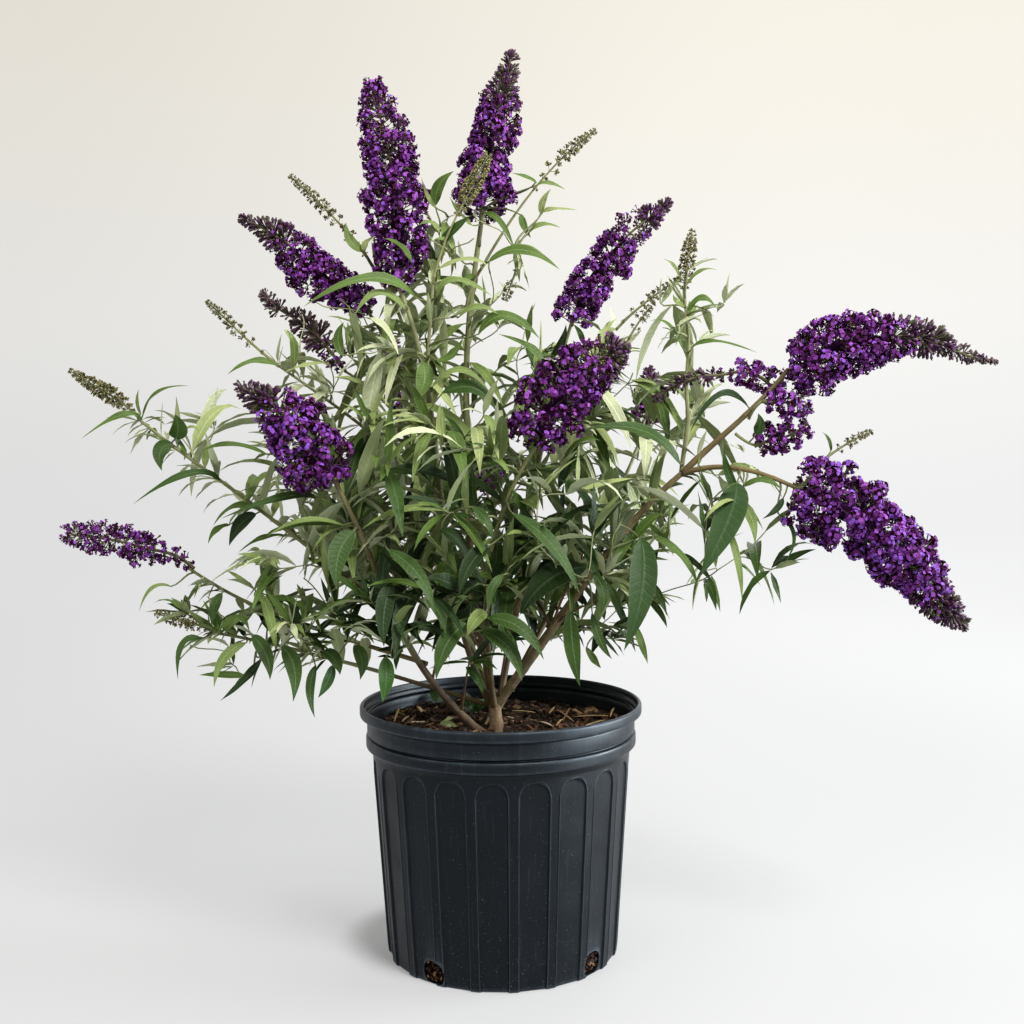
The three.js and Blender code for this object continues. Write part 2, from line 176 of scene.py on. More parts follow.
# ---------------------------------------------------------------- mesh gathering
class Heap:
    """Triangles gathered into one joined mesh, each with its material index."""

    def __init__(self):
        self.v, self.f, self.m, self.uv, self.n = [], [], [], [], 0

    def add(self, v, f, m=0, uv=None):
        v = np.asarray(v, np.float64).reshape(-1, 3)
        f = np.asarray(f, np.int64).reshape(-1, 3)
        self.v.append(v)
        self.f.append(f + self.n)
        self.m.append(np.broadcast_to(np.asarray(m, np.int32), (len(f),)).copy())
        self.uv.append(np.zeros((len(v), 2)) if uv is None else np.asarray(uv).reshape(-1, 2))
        self.n += len(v)

    def copies(self, v, f, m, place, turn, size, mat_of=None):
        """Copies of one small shape: place (k,3), turn (k,3,3), size (k,) or (k,3)."""
        k = len(place)
        if k == 0:
            return
        size = np.asarray(size, float)
        size = size[:, None, None] if size.ndim == 1 else size[:, None, :]
        pts = v[None] * size
        pts = np.einsum("kij,knj->kni", turn, pts) + place[:, None, :]
        faces = f[None] + (np.arange(k) * len(v))[:, None, None]
        mats = np.broadcast_to(np.asarray(m, np.int32), (len(f),))
        mats = np.tile(mats, (k, 1))
        if mat_of is not None:
            mats = mats + np.asarray(mat_of, np.int32)[:, None]
        self.add(pts.reshape(-1, 3), faces.reshape(-1, 3), mats.reshape(-1))

    def build(self, name, mats, nodes, slot, smooth=True, uv=False):
        v = np.concatenate(self.v) * MM
        f = np.concatenate(self.f)
        m = np.concatenate(self.m)
        me = bpy.data.meshes.new(name)
        me.vertices.add(len(v))
        me.vertices.foreach_set("co", v.astype(np.float32).ravel())
        me.loops.add(len(f) * 3)
        me.loops.foreach_set("vertex_index", f.astype(np.int32).ravel())
        me.polygons.add(len(f))
        me.polygons.foreach_set("loop_start", (np.arange(len(f)) * 3).astype(np.int32))
        for x in mats:
            me.materials.append(x)
        me.polygons.foreach_set("material_index", m.astype(np.int32))
        me.polygons.foreach_set("use_smooth", np.full(len(f), smooth))
        if uv:
            layer = me.uv_layers.new(name="leaf")
            layer.data.foreach_set("uv", np.concatenate(self.uv)[f.ravel()].astype(np.float32).ravel())
        me.update(calc_edges=True)
        ob = bpy.data.objects.new(name, me)
        bpy.context.collection.objects.link(ob)
        if nodes:
            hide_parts(*nodes)
        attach(ob, "root")
        COUNT[name] = len(f)
        return ob


COUNT = {}


def unit(a):
    a = np.asarray(a, float)
    return a / np.maximum(np.linalg.norm(a, axis=-1, keepdims=True), 1e-9)


def bez(row, t):
    p = np.array(row[:4], float)
    t = np.asarray(t, float)[:, None]
    return (1 - t) ** 3 * p[0] + 3 * (1 - t) ** 2 * t * p[1] + 3 * (1 - t) * t ** 2 * p[2] + t ** 3 * p[3]


def along(row, step):
    """Points at even steps along a curve."""
    q = bez(row, np.linspace(0, 1, 200))
    s = np.concatenate([[0], np.cumsum(np.linalg.norm(np.diff(q, axis=0), axis=1))])
    n = max(3, int(s[-1] / step) + 1)
    d = np.linspace(0, s[-1], n)
    return np.stack([np.interp(d, s, q[:, k]) for k in range(3)], 1)


def frames(p):
    """Tangent and two sides at each point of a path, turning as little as they can."""
    t = unit(np.gradient(p, axis=0))
    a = np.zeros_like(p)
    start = np.cross(t[0], [0, 1, 0]) if abs(t[0][1]) < 0.8 else np.cross(t[0], [1, 0, 0])
    a[0] = unit(start)
    for i in range(1, len(p)):
        a[i] = unit(a[i - 1] - t[i] * (a[i - 1] @ t[i]))
    return t, a, np.cross(t, a)


def tube(heap, p, r, sides, mat=0, relief=None, closed=True):
    t, a, b = frames(p)
    n = len(p)
    ang = np.arange(sides) * 2 * np.pi / sides
    rr = np.broadcast_to(np.asarray(r, float).reshape(-1, 1), (n, sides)).copy()
    if relief is not None:
        rr = relief(rr, ang, p)
    v = p[:, None] + rr[..., None] * (np.cos(ang)[None, :, None] * a[:, None] + np.sin(ang)[None, :, None] * b[:, None])
    i = np.arange(n - 1)[:, None] * sides
    j = np.arange(sides)[None]
    k = (j + 1) % sides
    f = np.concatenate([
        np.stack([i + j, i + k, i + sides + k], -1).reshape(-1, 3),
        np.stack([i + j, i + sides + k, i + sides + j], -1).reshape(-1, 3)])
    v = v.reshape(-1, 3)
    if closed:
        v = np.concatenate([v, p[:1] - t[:1] * rr[0].mean() * 0.3, p[-1:] + t[-1:] * rr[-1].mean() * 0.6])
        z = n * sides
        jj = np.arange(sides)
        kk = (jj + 1) % sides
        f = np.concatenate([f, np.stack([kk, jj, np.full(sides, z)], 1),
                            np.stack([(n - 1) * sides + jj, (n - 1) * sides + kk, np.full(sides, z + 1)], 1)])
    heap.add(v, f, mat)


# ---------------------------------------------------------------- the plant's plan (mm, as in the CAD model)
LIMBS = {
    "trunk": [[-4, -8, 217], [-4, -8, 234], [-6, -8, 247], [-8, -7, 261], 6.0, 6.4],
    "bough_right": [[-4, -8, 249], [58, -23, 327], [102, -39, 415], [175, -48, 477], 6.6, 3.6],
    "bough_right_upper": [[175, -48, 477], [207, -54, 510], [242, -62, 535], [272, -64, 574], 3.3, 1.9],
    "bough_right_lower": [[174, -48, 476], [208, -58, 490], [241, -78, 481], [273, -93, 464], 2.8, 1.9],
    "bough_right_spire": [[174, -47, 476], [183, -42, 532], [184, -34, 587], [180, -32, 643], 2.3, 1.4],
    "stem_left": [[-15, -18, 218], [-106, -58, 306], [-96, -108, 376], [-148, -108, 474], 3.8, 2.2],
    "stem_low_left": [[-10, -6, 246], [-104, 14, 273], [-185, -33, 309], [-278, -34, 327], 2.4, 1.4],
    "stem_left_outer": [[-70, -52, 297], [-152, -16, 318], [-236, 9, 332], [-310, 6, 386], 2.4, 1.5],
    "stem_far_left": [[-85, -70, 323], [-161, -5, 398], [-261, -26, 462], [-348, -22, 534], 2.5, 1.4],
    "stem_upper_left": [[-24, 8, 306], [-67, 19, 414], [-62, 56, 544], [-131, 44, 641], 3.0, 1.7],
    "stem_centre_left": [[-11, -9, 249], [-73, -18, 384], [-41, -38, 534], [-97, -4, 663], 3.6, 2.0],
    "stem_centre": [[-8, -6, 254], [-40, 36, 416], [-41, 47, 573], [-13, 36, 740], 4.2, 2.4],
    "stem_centre_right": [[-6, -12, 247], [-18, -47, 342], [-22, -97, 427], [34, -104, 503], 3.0, 2.0],
    "stem_right_back": [[-2, -3, 247], [29, 45, 375], [37, 60, 508], [77, 54, 631], 3.2, 1.8],
    "stem_back_left": [[-9, -2, 244], [-39, 79, 340], [-94, 134, 429], [-108, 168, 544], 3.2, 1.8],
    "stem_back_right": [[-4, -2, 239], [50, 78, 328], [119, 128, 409], [160, 164, 513], 3.2, 1.8],
    # inner shoots with no node of their own
    "shoot_left_faded": [[-62, 16, 470], [-84, 40, 520], [-120, 62, 560], [-158, 66, 582], 2.2, 1.4],
    "shoot_left_bud": [[-70, -26, 470], [-120, -18, 520], [-180, -8, 560], [-216, -10, 586], 2.0, 1.2],
    "shoot_upper_left_bud": [[-86, 30, 590], [-92, 24, 630], [-104, 20, 652], [-120, 20, 677], 2.0, 1.3],
    "shoot_centre_bud": [[-70, -24, 560], [-66, -26, 600], [-64, -26, 630], [-61, -26, 660], 2.0, 1.4],
    "shoot_upper_right_bud": [[-31, 40, 640], [-28, 38, 662], [-22, 36, 674], [-12, 34, 686], 2.0, 1.5],
    "shoot_back_centre": [[-28, 60, 330], [-30, 120, 372], [-22, 170, 410], [-12, 198, 440], 2.8, 1.8],
    "shoot_right_side": [[268, -62, 568], [268, -56, 562], [266, -52, 556], [260, -50, 550], 1.8, 1.4],
    "shoot_right_fork": [[236, -60, 528], [238, -66, 536], [242, -70, 542], [248, -72, 545], 1.6, 1.2],
    "shoot_right_small": [[224, -58, 514], [228, -64, 510], [234, -66, 504], [242, -68, 503], 1.6, 1.2],
}

# foot, handles, tip; radius at the foot, fullest, where, at the tip, fall; bare share; then the share of the way
# up to which florets are open, how full the head is, and how far spent it looks
PANICLES = {
    "panicle_top_left": ([[-102, -4, 655], [-81, -3, 724], [-106, 4, 792], [-117, 10, 857], 8, 31, .38, 6, .7, 0], 1.0, .95, .15),
    "panicle_top_centre": ([[-17, 36, 704], [-11, 36, 772], [3, 36, 830], [15, 36, 892], 18, 30, .15, 4, .6, .15], .74, 1.15, .12),
    "panicle_upper_left": ([[-127, 44, 639], [-167, 41, 674], [-206, 37, 711], [-255, 35, 733], 11, 28, .35, 4, .65, 0], .66, .95, .3),
    "panicle_left_faded": ([[-157, 66, 581], [-180, 65, 613], [-211, 59, 638], [-241, 60, 663], 9, 17, .2, 4, .8, 0], .22, .6, .75),
    "panicle_left_middle": ([[-146, -108, 469], [-167, -109, 507], [-196, -103, 539], [-232, -100, 562], 13, 35, .3, 5, .8, 0], .62, 1.1, .15),
    "panicle_upper_right": ([[76, 54, 625], [91, 53, 683], [140, 49, 708], [177, 50, 748], 14, 28, .3, 5, .8, 0], .8, 1.0, .2),
    "panicle_right_middle": ([[34, -104, 497], [36, -104, 542], [77, -104, 574], [115, -104, 589], 14, 36, .45, 6, .7, 0], .8, 1.05, .12),
    "panicle_right_upper": ([[268, -64, 572], [340, -68, 616], [394, -68, 604], [469, -68, 579], 13, 31, .28, 3.5, 1.6, 0], .5, 1.1, .25),
    "panicle_right_side": ([[262, -50, 549], [248, -49, 584], [164, -41, 564], [147, -42, 549], 8, 15, .18, 5, 1.2, 0], .4, .8, .45),
    "panicle_right_fork": ([[246, -72, 544], [260, -74, 540], [272, -76, 548], [288, -78, 537], 8, 16, .55, 8, .8, 0], 1.0, .9, .1),
    "panicle_right_small": ([[240, -68, 502], [256, -69, 510], [271, -70, 513], [286, -72, 521], 8, 15, .5, 8, .8, 0], 1.0, 1.0, .1),
    "panicle_right_lower": ([[268, -91, 467], [335, -103, 443], [373, -111, 380], [425, -112, 336], 15, 37, .28, 4, .75, 0], .74, 1.4, .05),
    "panicle_low_left": ([[-304, 6, 384], [-343, 6, 405], [-385, 6, 412], [-426, 6, 420], 9, 18, .65, 7, .5, 0], 1.0, .75, .3),
    "panicle_back_left": ([[-106, 168, 532], [-115, 192, 566], [-123, 212, 600], [-128, 230, 636], 9, 22, .45, 5, .8, 0], .8, .85, .1),
    "panicle_back_right": ([[157, 166, 508], [168, 188, 535], [176, 210, 561], [177, 232, 590], 9, 21, .45, 5, .8, 0], .8, .85, .1),
    "panicle_back_centre": ([[-12, 196, 438], [-16, 250, 476], [-12, 300, 484], [-2, 350, 462], 10, 25, .35, 4, .8, .15], .75, .88, .1),
}

# outlines of the heads in the photograph's frame: share of the way up, px to the left and to the right of the axis
OUTLINES = {
    "panicle_top_left": ((0, 16, 16), (.1, 24, 22), (.2, 27, 28), (.27, 27, 32), (.34, 37, 32), (.42, 35, 32), (.5, 31, 26),
                         (.58, 29, 26), (.66, 28, 27), (.74, 27, 25), (.82, 23, 21), (.9, 20, 16), (1, 12, 10)),
    "panicle_top_centre": ((.15, 24, 22), (.2, 34, 30), (.3, 30, 28), (.42, 27, 26), (.48, 24, 20), (.54, 28, 22),
                           (.6, 27, 24), (.66, 23, 22), (.74, 24, 19), (.82, 16, 15), (.9, 9, 14), (1, 6, 9)),
    "panicle_upper_left": ((0, 12, 14), (.12, 17, 20), (.25, 26, 21), (.4, 33, 20), (.5, 29, 19), (.58, 26, 20), (.66, 16, 20),
                           (.74, 16, 18), (.82, 12, 15), (.9, 8, 10), (1, 5, 6)),
    "panicle_left_faded": ((0, 10, 12), (.2, 14, 16), (.35, 16, 22), (.5, 13, 20), (.62, 10, 14), (.7, 10, 8), (.82, 15, 9),
                           (.9, 11, 8), (1, 3, 5)),
    "panicle_left_middle": ((0, 16, 24), (.1, 24, 35), (.18, 40, 33), (.26, 39, 32), (.34, 33, 31), (.42, 33, 33), (.5, 31, 31),
                            (.58, 25, 29), (.66, 23, 27), (.74, 16, 21), (.82, 18, 15), (.9, 14, 10), (1, 9, 8)),
    "panicle_upper_right": ((0, 18, 20), (.1, 29, 28), (.18, 19, 23), (.26, 27, 24), (.34, 24, 23), (.42, 27, 22), (.5, 25, 20),
                            (.58, 25, 15), (.66, 26, 12), (.74, 25, 13), (.82, 20, 8), (.9, 13, 7), (1, 7, 3)),
    "panicle_right_middle": ((0, 10, 12), (.1, 18, 34), (.18, 36, 34), (.26, 34, 36), (.34, 34, 35), (.42, 31, 32), (.5, 32, 29),
                             (.58, 33, 31), (.66, 32, 27), (.74, 30, 23), (.82, 31, 19), (.9, 20, 14), (1, 9, 6)),
    "panicle_right_upper": ((0, 20, 30), (.08, 25, 38), (.18, 27, 35), (.26, 28, 29), (.34, 28, 26), (.42, 24, 29), (.5, 24, 23),
                            (.58, 23, 14), (.66, 21, 16), (.74, 12, 11), (.82, 6, 13), (.9, 3, 9), (1, 1, 3)),
    "panicle_right_side": ((0, 8, 20), (.1, 12, 18), (.2, 12, 22), (.3, 8, 20), (.42, 4, 8), (.5, 10, 10), (.58, 5, 14),
                           (.66, 3, 6), (.74, 9, 13), (.82, 5, 10), (.9, 10, 4), (1, 8, 3)),
    "panicle_right_fork": ((0, 10, 10), (.2, 14, 14), (.45, 16, 16), (.6, 13, 15), (.8, 15, 14), (1, 9, 8)),
    "panicle_right_small": ((0, 10, 10), (.1, 14, 12), (.26, 17, 17), (.5, 12, 19), (.7, 15, 20), (.9, 12, 14), (1, 7, 6)),
    "panicle_right_lower": ((0, 26, 30), (.1, 40, 42), (.18, 36, 34), (.26, 38, 35), (.34, 36, 27), (.42, 36, 25), (.5, 34, 24),
                            (.58, 33, 25), (.66, 28, 18), (.74, 20, 18), (.82, 16, 18), (.9, 14, 12), (1, 5, 5)),
    "panicle_low_left": ((0, 5, 10), (.1, 5, 15), (.26, 9, 19), (.34, 13, 19), (.42, 21, 22), (.5, 14, 23), (.58, 17, 19),
                         (.66, 14, 22), (.74, 16, 20), (.82, 16, 19), (.9, 15, 16), (1, 12, 12)),
}


FULLER = {"panicle_top_left": 1.14, "panicle_top_centre": 1.15, "panicle_left_middle": 1.1, "panicle_right_middle": 1.1,
          "panicle_right_upper": 1.12, "panicle_right_lower": 1.2, "panicle_upper_right": 1.15, "panicle_upper_left": 1.14,
          "panicle_low_left": 1.12}


def head_form(name, row, step=1.0):
    """The axis of a flower head at even steps, and how far its florets reach from it."""
    p = along(row, step)
    u = np.linspace(0, 1, len(p))
    foot, widest, where, tip_r, fall, bare = row[4:10]
    if name in OUTLINES:
        o = np.array(OUTLINES[name], float)
        lo, hi = np.interp(u, o[:, 0], o[:, 1]), np.interp(u, o[:, 0], o[:, 2])
        px = frame_px(p)
        t = unit(np.gradient(px, axis=0))
        off = (hi - lo) * 0.5 * np.clip(u * 12, 0, 1)
        w = max(3, int(22 / step) | 1)
        pad = np.pad(off, w // 2, mode="edge")
        off = np.convolve(pad, np.ones(w) / w, "valid")
        p = p + (R2[None] * -t[:, 1:2] - U2[None] * t[:, 0:1]) * off[:, None]
        return p, (lo + hi) * 0.5 * FULLER.get(name, 1.1)
    v = np.clip((u - bare) / (1 - bare), 0, 1)
    return p, np.where(v < where, foot + (widest - foot) * np.sin(np.pi / 2 * np.clip(v / where, 0, 1)),
                       tip_r + (widest - tip_r) * np.cos(np.pi / 2 * np.clip((v - where) / (1 - where), 0, 1)) ** fall)


BUD_SHOOTS = {
    "bud_spike_upper_left": [[-118, 20, 676], [-149, 22, 725], [-178, 22, 748], [-205, 22, 774], 4, 9, .35, 3, .8, .15],
    "bud_spike_left": [[-214, -10, 585], [-244, -12, 608], [-263, -12, 631], [-282, -12, 647], 3, 9, .35, 3, .9, .18],
    "bud_spike_far_left": [[-345, -22, 532], [-362, -22, 554], [-389, -22, 564], [-411, -22, 580], 4, 11, .35, 3.5, .9, 0.1],
    "bud_spike_low_left": [[-275, -34, 326], [-292, -34, 338], [-314, -34, 338], [-333, -34, 347], 4, 9, .35, 3, .8, 0.1],
    "bud_spike_centre": [[-61, -26, 659], [-54, -24, 705], [-26, -23, 743], [-7, -16, 784], 4, 12, .4, 3.5, .6, .5],
    "bud_spike_upper_right": [[-14, 34, 684], [19, 30, 740], [55, 29, 786], [101, 30, 818], 4, 10, .3, 3, .8, .5],
    "bud_spike_right": [[180, -32, 640], [179, -30, 664], [184, -28, 686], [188, -26, 708], 4, 10, .35, 3.5, .7, .15],
    # small ones with no node of their own
    "small_right_inner": [[118, 16, 618], [138, 12, 640], [160, 8, 654], [181, 4, 668], 3, 8, .35, 3, .8, .1],
    "small_right_inner_low": [[124, 10, 596], [132, 6, 614], [142, 4, 630], [154, 2, 642], 3, 7, .4, 3, .8, .2],
    "small_far_right": [[296, -84, 486], [312, -84, 498], [330, -84, 510], [346, -84, 515], 2, 7, .4, 3, .8, .1],
    "small_top": [[24, 30, 690], [18, 30, 676], [14, 30, 664], [8, 30, 650], 3, 8, .4, 4, .8, .2],
    "small_top_left": [[-58, 0, 714], [-68, 0, 730], [-72, 0, 744], [-76, 0, 752], 2, 6, .5, 4, .8, .3],
}

# centre, half sizes, tilt, number of shoots, how pale the leaves are (0 deep green .. 1 silvery)
LEAF_MASSES = {
    "foliage_top": ([-38, 6, 680], [66, 54, 54], 0, 19, .75),
    "foliage_upper_centre": ([-24, 62, 598], [72, 66, 58], 0, 9, .6),
    "foliage_upper_left": ([-143, -10, 604], [66, 56, 56], 15, 15, .7),
    "foliage_upper_right": ([72, 16, 575], [62, 56, 58], 0, 13, .6),
    "foliage_right_spire": ([184, -32, 630], [42, 30, 44], 0, 5, .75),
    "foliage_far_left": ([-321, -22, 523], [44, 22, 30], -20, 0, .7),
    "foliage_left": ([-236, 12, 488], [74, 62, 58], -30, 6, 1.0),
    "foliage_left_front": ([-122, -36, 480], [60, 60, 72], 0, 12, .7),
    "foliage_centre_front": ([-40, -98, 472], [68, 78, 76], 0, 14, .52),
    "foliage_right_front": ([58, -104, 426], [70, 64, 62], 25, 16, .3),
    "foliage_right": ([146, 24, 534], [68, 68, 62], -10, 9, .55),
    "foliage_right_outer": ([213, -72, 432], [66, 50, 64], -35, 7, .4),
    "foliage_left_low": ([-172, -68, 374], [76, 62, 54], -15, 16, .6),
    "foliage_low_left": ([-250, -24, 322], [70, 40, 42], -8, 9, .6),
    "foliage_low_front": ([-58, -116, 352], [82, 52, 54], 0, 14, .2),
    "foliage_low_right": ([104, 6, 366], [68, 64, 62], 35, 14, .25),
    "foliage_back": ([-20, 116, 450], [94, 106, 86], 0, 20, .4),
    "foliage_back_left": ([-148, 122, 400], [78, 82, 74], 0, 19, .45),
    "foliage_back_right": ([126, 140, 450], [70, 74, 74], 0, 14, .45),
    "foliage_back_low": ([6, 142, 338], [90, 74, 54], 0, 16, .25),
}

# A long leaf by its places in the photograph's frame: where it starts, where it bends, where its tip is; its width
# in px, its tone (see LEAF_TONES) and the depth in mm at which it starts.
MARKED = [
    # (start, bend or None, tip, width, tone, depth)
    ((641, 538), (642, 590), (624, 651), 31, 6, -92), ((737, 483), (727, 522), (699, 578), 33, 6, -92),
    ((570, 610), (573, 650), (580, 687), 18, 1, -84), ((512, 513), (552, 545), (580, 595), 15, 2, -150),
    ((632, 541), (649, 522), (661, 514), 12, 3, -88), ((586, 567), (548, 580), (520, 615), 30, 0, -92),
    ((592, 572), (603, 592), (600, 615), 13, 1, -86), ((592, 613), (600, 640), (612, 659), 11, 2, -80),
    ((606, 583), (616, 600), (621, 620), 10, 2, -80), ((652, 535), (682, 556), (698, 587), 9, 3, -80),
    ((676, 553), (697, 565), (714, 585), 8, 2, -60), ((727, 526), (738, 562), (742, 602), 9, 4, -98),
    ((742, 506), (752, 520), (755, 545), 12, 4, -100), ((734, 500), (718, 505), (704, 522), 6, 5, -104),
    ((650, 581), (660, 597), (667, 616), 9, 2, -60), ((647, 598), (660, 612), (667, 628), 8, 2, -56),
    ((635, 625), (642, 645), (648, 664), 9, 3, -50), ((586, 647), (594, 660), (601, 668), 9, 3, -60),
    ((487, 618), (520, 628), (544, 660), 16, 2, -150), ((481, 630), (508, 648), (522, 681), 18, 1, -140),
    ((466, 623), (446, 645), (436, 680), 21, 1, -146), ((487, 613), (476, 620), (467, 637), 16, 4, -154),
    ((489, 546), (470, 565), (459, 596), 18, 0, -150), ((388, 550), (418, 575), (435, 613), 16, 2, -150),
    ((426, 599), (440, 615), (446, 637), 10, 1, -146), ((391, 583), (384, 612), (384, 647), 20, 0, -140),
    ((354, 531), (338, 555), (337, 590), 24, 2, -132), ((504, 574), (492, 590), (489, 613), 11, 1, -158),
    ((471, 506), (486, 520), (493, 541), 11, 2, -150), ((440, 530), (457, 540), (468, 561), 15, 0, -140),
    ((459, 589), (443, 580), (426, 578), 15, 0, -140), ((385, 657), (386, 680), (382, 703), 18, 7, -146),
    ((466, 667), (477, 678), (483, 694), 11, 7, -120), ((422, 362), (424, 382), (413, 401), 20, 3, -60),
    ((437, 297), (455, 280), (492, 296), 12, 4, -44), ((437, 270), (466, 259), (490, 267), 6, 5, -38),
    ((488, 262), (522, 250), (560, 270), 12, 3, -30), ((478, 335), (505, 316), (540, 339), 14, 3, -64),
    ((459, 317), (478, 307), (499, 315), 8, 4, -60), ((437, 360), (452, 355), (463, 338), 14, 3, -74),
    ((432, 387), (462, 370), (492, 396), 8, 4, -80), ((442, 393), (474, 388), (496, 411), 16, 1, -82),
    ((544, 364), (529, 347), (498, 334), 9, 3, -60), ((416, 298), (369, 278), (303, 307), 12, 3, -44),
    ((406, 309), (377, 293), (353, 319), 9, 4, -48), ((343, 356), (338, 338), (344, 322), 12, 3, -68),
    ((293, 366), (294, 345), (286, 329), 10, 4, -60), ((278, 366), (253, 361), (227, 375), 7, 3, -60),
    ((364, 251), (350, 240), (346, 222), 12, 4, -10), ((364, 251), (367, 243), (376, 236), 8, 5, -14),
    ((141, 420), (121, 415), (81, 439), 7, 3, -24), ((143, 415), (158, 392), (190, 386), 5, 3, -22),
    ((141, 415), (137, 402), (139, 389), 4, 4, -20), ((176, 439), (178, 428), (175, 414), 19, 2, -30),
    ((173, 444), (160, 452), (162, 471), 17, 2, -32), ((176, 439), (190, 427), (200, 433), 4, 4, -22),
    ((221, 481), (187, 474), (132, 505), 8.5, 1, -34), ((268, 455), (228, 444), (196, 456), 6, 3, -30),
    ((264, 513), (236, 506), (213, 526), 7, 3, -32), ((256, 514), (240, 525), (229, 546), 15, 0, -30),
    ((230, 525), (216, 530), (208, 544), 7, 3, -26), ((286, 536), (262, 538), (238, 553), 6, 3, -24),
    ((172, 587), (152, 588), (139, 612), 4.5, 4, -18), ((203, 639), (182, 645), (178, 680), 8, 2, -50),
    ((246, 643), (223, 659), (214, 688), 12, 4, -66), ((261, 659), (244, 680), (220, 701), 9, 0, -68),
    ((252, 635), (266, 655), (270, 680), 16, 2, -84), ((282, 646), (294, 668), (293, 702), 18, 1, -90),
    ((323, 651), (335, 660), (340, 675), 15, 1, -90), ((316, 665), (310, 690), (315, 718), 11, 1, -80),
    ((333, 665), (327, 682), (318, 698), 13, 7, -90), ((354, 645), (362, 660), (360, 680), 15, 2, -100),
    ((222, 593), (214, 608), (212, 626), 12, 1, -60), ((219, 631), (238, 617), (250, 633), 8, 3, -70),
    ((344, 526), (305, 520), (266, 537), 6, 4, -110), ((316, 499), (284, 497), (220, 519), 10, 1, -90),
    ((348, 526), (308, 524), (267, 535), 7, 3, -104), ((690, 351), (713, 341), (758, 353), 5, 3, -42),
    ((684, 351), (669, 325), (650, 321), 5, 3, -42), ((749, 408), (720, 395), (690, 432), 9, 0, -70),
    ((680, 464), (641, 430), (578, 431), 14, 2, -74), ((738, 493), (728, 472), (723, 447), 11, 2, -84),
    ((743, 487), (764, 480), (783, 491), 8, 3, -84), ((783, 498), (776, 510), (762, 519), 8, 0, -92),
    ((777, 513), (794, 535), (784, 564), 5, 2, -90), ((831, 452), (829, 440), (822, 432), 4, 3, -90),
    ((755, 435), (760, 425), (758, 413), 13, 1, -70), ((685, 306), (677, 302), (673, 294), 6, 4, -38),
    ((688, 311), (702, 298), (717, 309), 8, 3, -36), ((686, 286), (700, 271), (717, 270), 4, 4, -36),
    ((680, 278), (673, 265), (663, 259), 4, 4, -34), ((552, 356), (562, 342), (566, 324), 10, 0, -50),
    ((583, 344), (580, 333), (573, 324), 7, 2, -30), ((435, 206), (439, 186), (454, 171), 14, 3, -4),
    ((436, 208), (428, 196), (421, 177), 5, 5, -4), ((441, 246), (452, 232), (473, 214), 13, 2, -14),
    ((537, 183), (526, 177), (511, 173), 5, 3, 26), ((537, 185), (549, 183), (566, 190), 5, 4, 26),
    ((521, 214), (524, 226), (531, 238), 9, 3, 26), ((541, 214), (543, 201), (551, 189), 8, 5, 24),
    ((526, 236), (541, 225), (561, 228), 9, 4, 22), ((542, 214), (552, 209), (578, 210), 5, 5, 24),
    ((484, 213), (500, 222), (515, 250), 8, 3, 26), ((412, 262), (400, 246), (383, 238), 8, 3, -22),
    ((474, 226), (462, 216), (449, 196), 7, 4, 20), ((505, 254), (520, 246), (541, 252), 7, 4, 20),
    ((440, 232), (430, 222), (418, 226), 6, 4, -12), ((456, 252), (446, 240), (433, 240), 6, 4, -14),
]

# tops, then the paler undersides, in the order that MARKED and the sprays call them by
LEAF_TONES = [
    ("leaf_deep", (34, 54, 20)), ("leaf_dark", (56, 79, 32)), ("leaf_mid", (84, 106, 49)),
    ("leaf_grey", (114, 131, 76)), ("leaf_pale", (145, 156, 105)), ("leaf_silver", (181, 187, 153)),
    ("leaf_broad", (54, 78, 41)), ("leaf_fresh", (46, 78, 25)),
]
UNDER_TONES = [("under_grey", (150, 160, 120)), ("under_silver", (180, 188, 156)), ("under_dull", (116, 130, 84))]


# ---------------------------------------------------------------- limbs
def smooth_noise(n_len, n_ang, seed, cells=7):
    """A soft random field over length and angle that closes round the limb."""
    g = np.random.default_rng(seed)
    out = np.zeros((n_len, n_ang))
    s = np.arange(n_len)[:, None] / max(n_len, 1)
    a = np.arange(n_ang)[None] * 2 * np.pi / n_ang
    for k in range(1, cells + 1):
        for _ in range(3):
            w, ph, q = g.normal() / k ** 0.6, g.uniform(0, 6.28), g.uniform(-1, 1) * 14
            out += w * np.cos(k * a + ph + q * s)
    return out / 3.2


def bark_relief(amount, node_gap, step, seed, flare=False):
    def go(rr, ang, p):
        n, k = rr.shape
        f = smooth_noise(n, k, seed, 9)
        g = np.random.default_rng(seed + 5)
        s = np.arange(n) * step
        rr = rr * (1 + amount * f)
        knots = np.zeros(n)
        at = g.uniform(0.3, 1) * node_gap
        while at < s[-1]:
            knots += g.uniform(0.05, 0.13) * np.exp(-((s - at) / 3.0) ** 2)
            at += node_gap * g.uniform(0.7, 1.3)
        rr = rr * (1 + knots[:, None])
        # narrow fissures
        cut = np.clip(np.abs(smooth_noise(n, k, seed + 11, 14)) * 3.0, 0, 1)
        rr = rr - amount * 2.2 * (1 - cut) ** 2 * np.minimum(rr, 3)
        if flare:
            z = p[:, 2]
            root = 1 + 0.35 * np.cos(3 * ang[None] + 0.7) * np.exp(-np.clip(z[:, None] - 219, 0, None) / 9)
            rr = rr * root
        return rr
    return go


SK_P, SK_D, SK_R = [], [], []


def skeleton(p, r):
    SK_P.append(p)
    SK_D.append(unit(np.gradient(p, axis=0)))
    SK_R.append(np.broadcast_to(r, (len(p),)).copy())


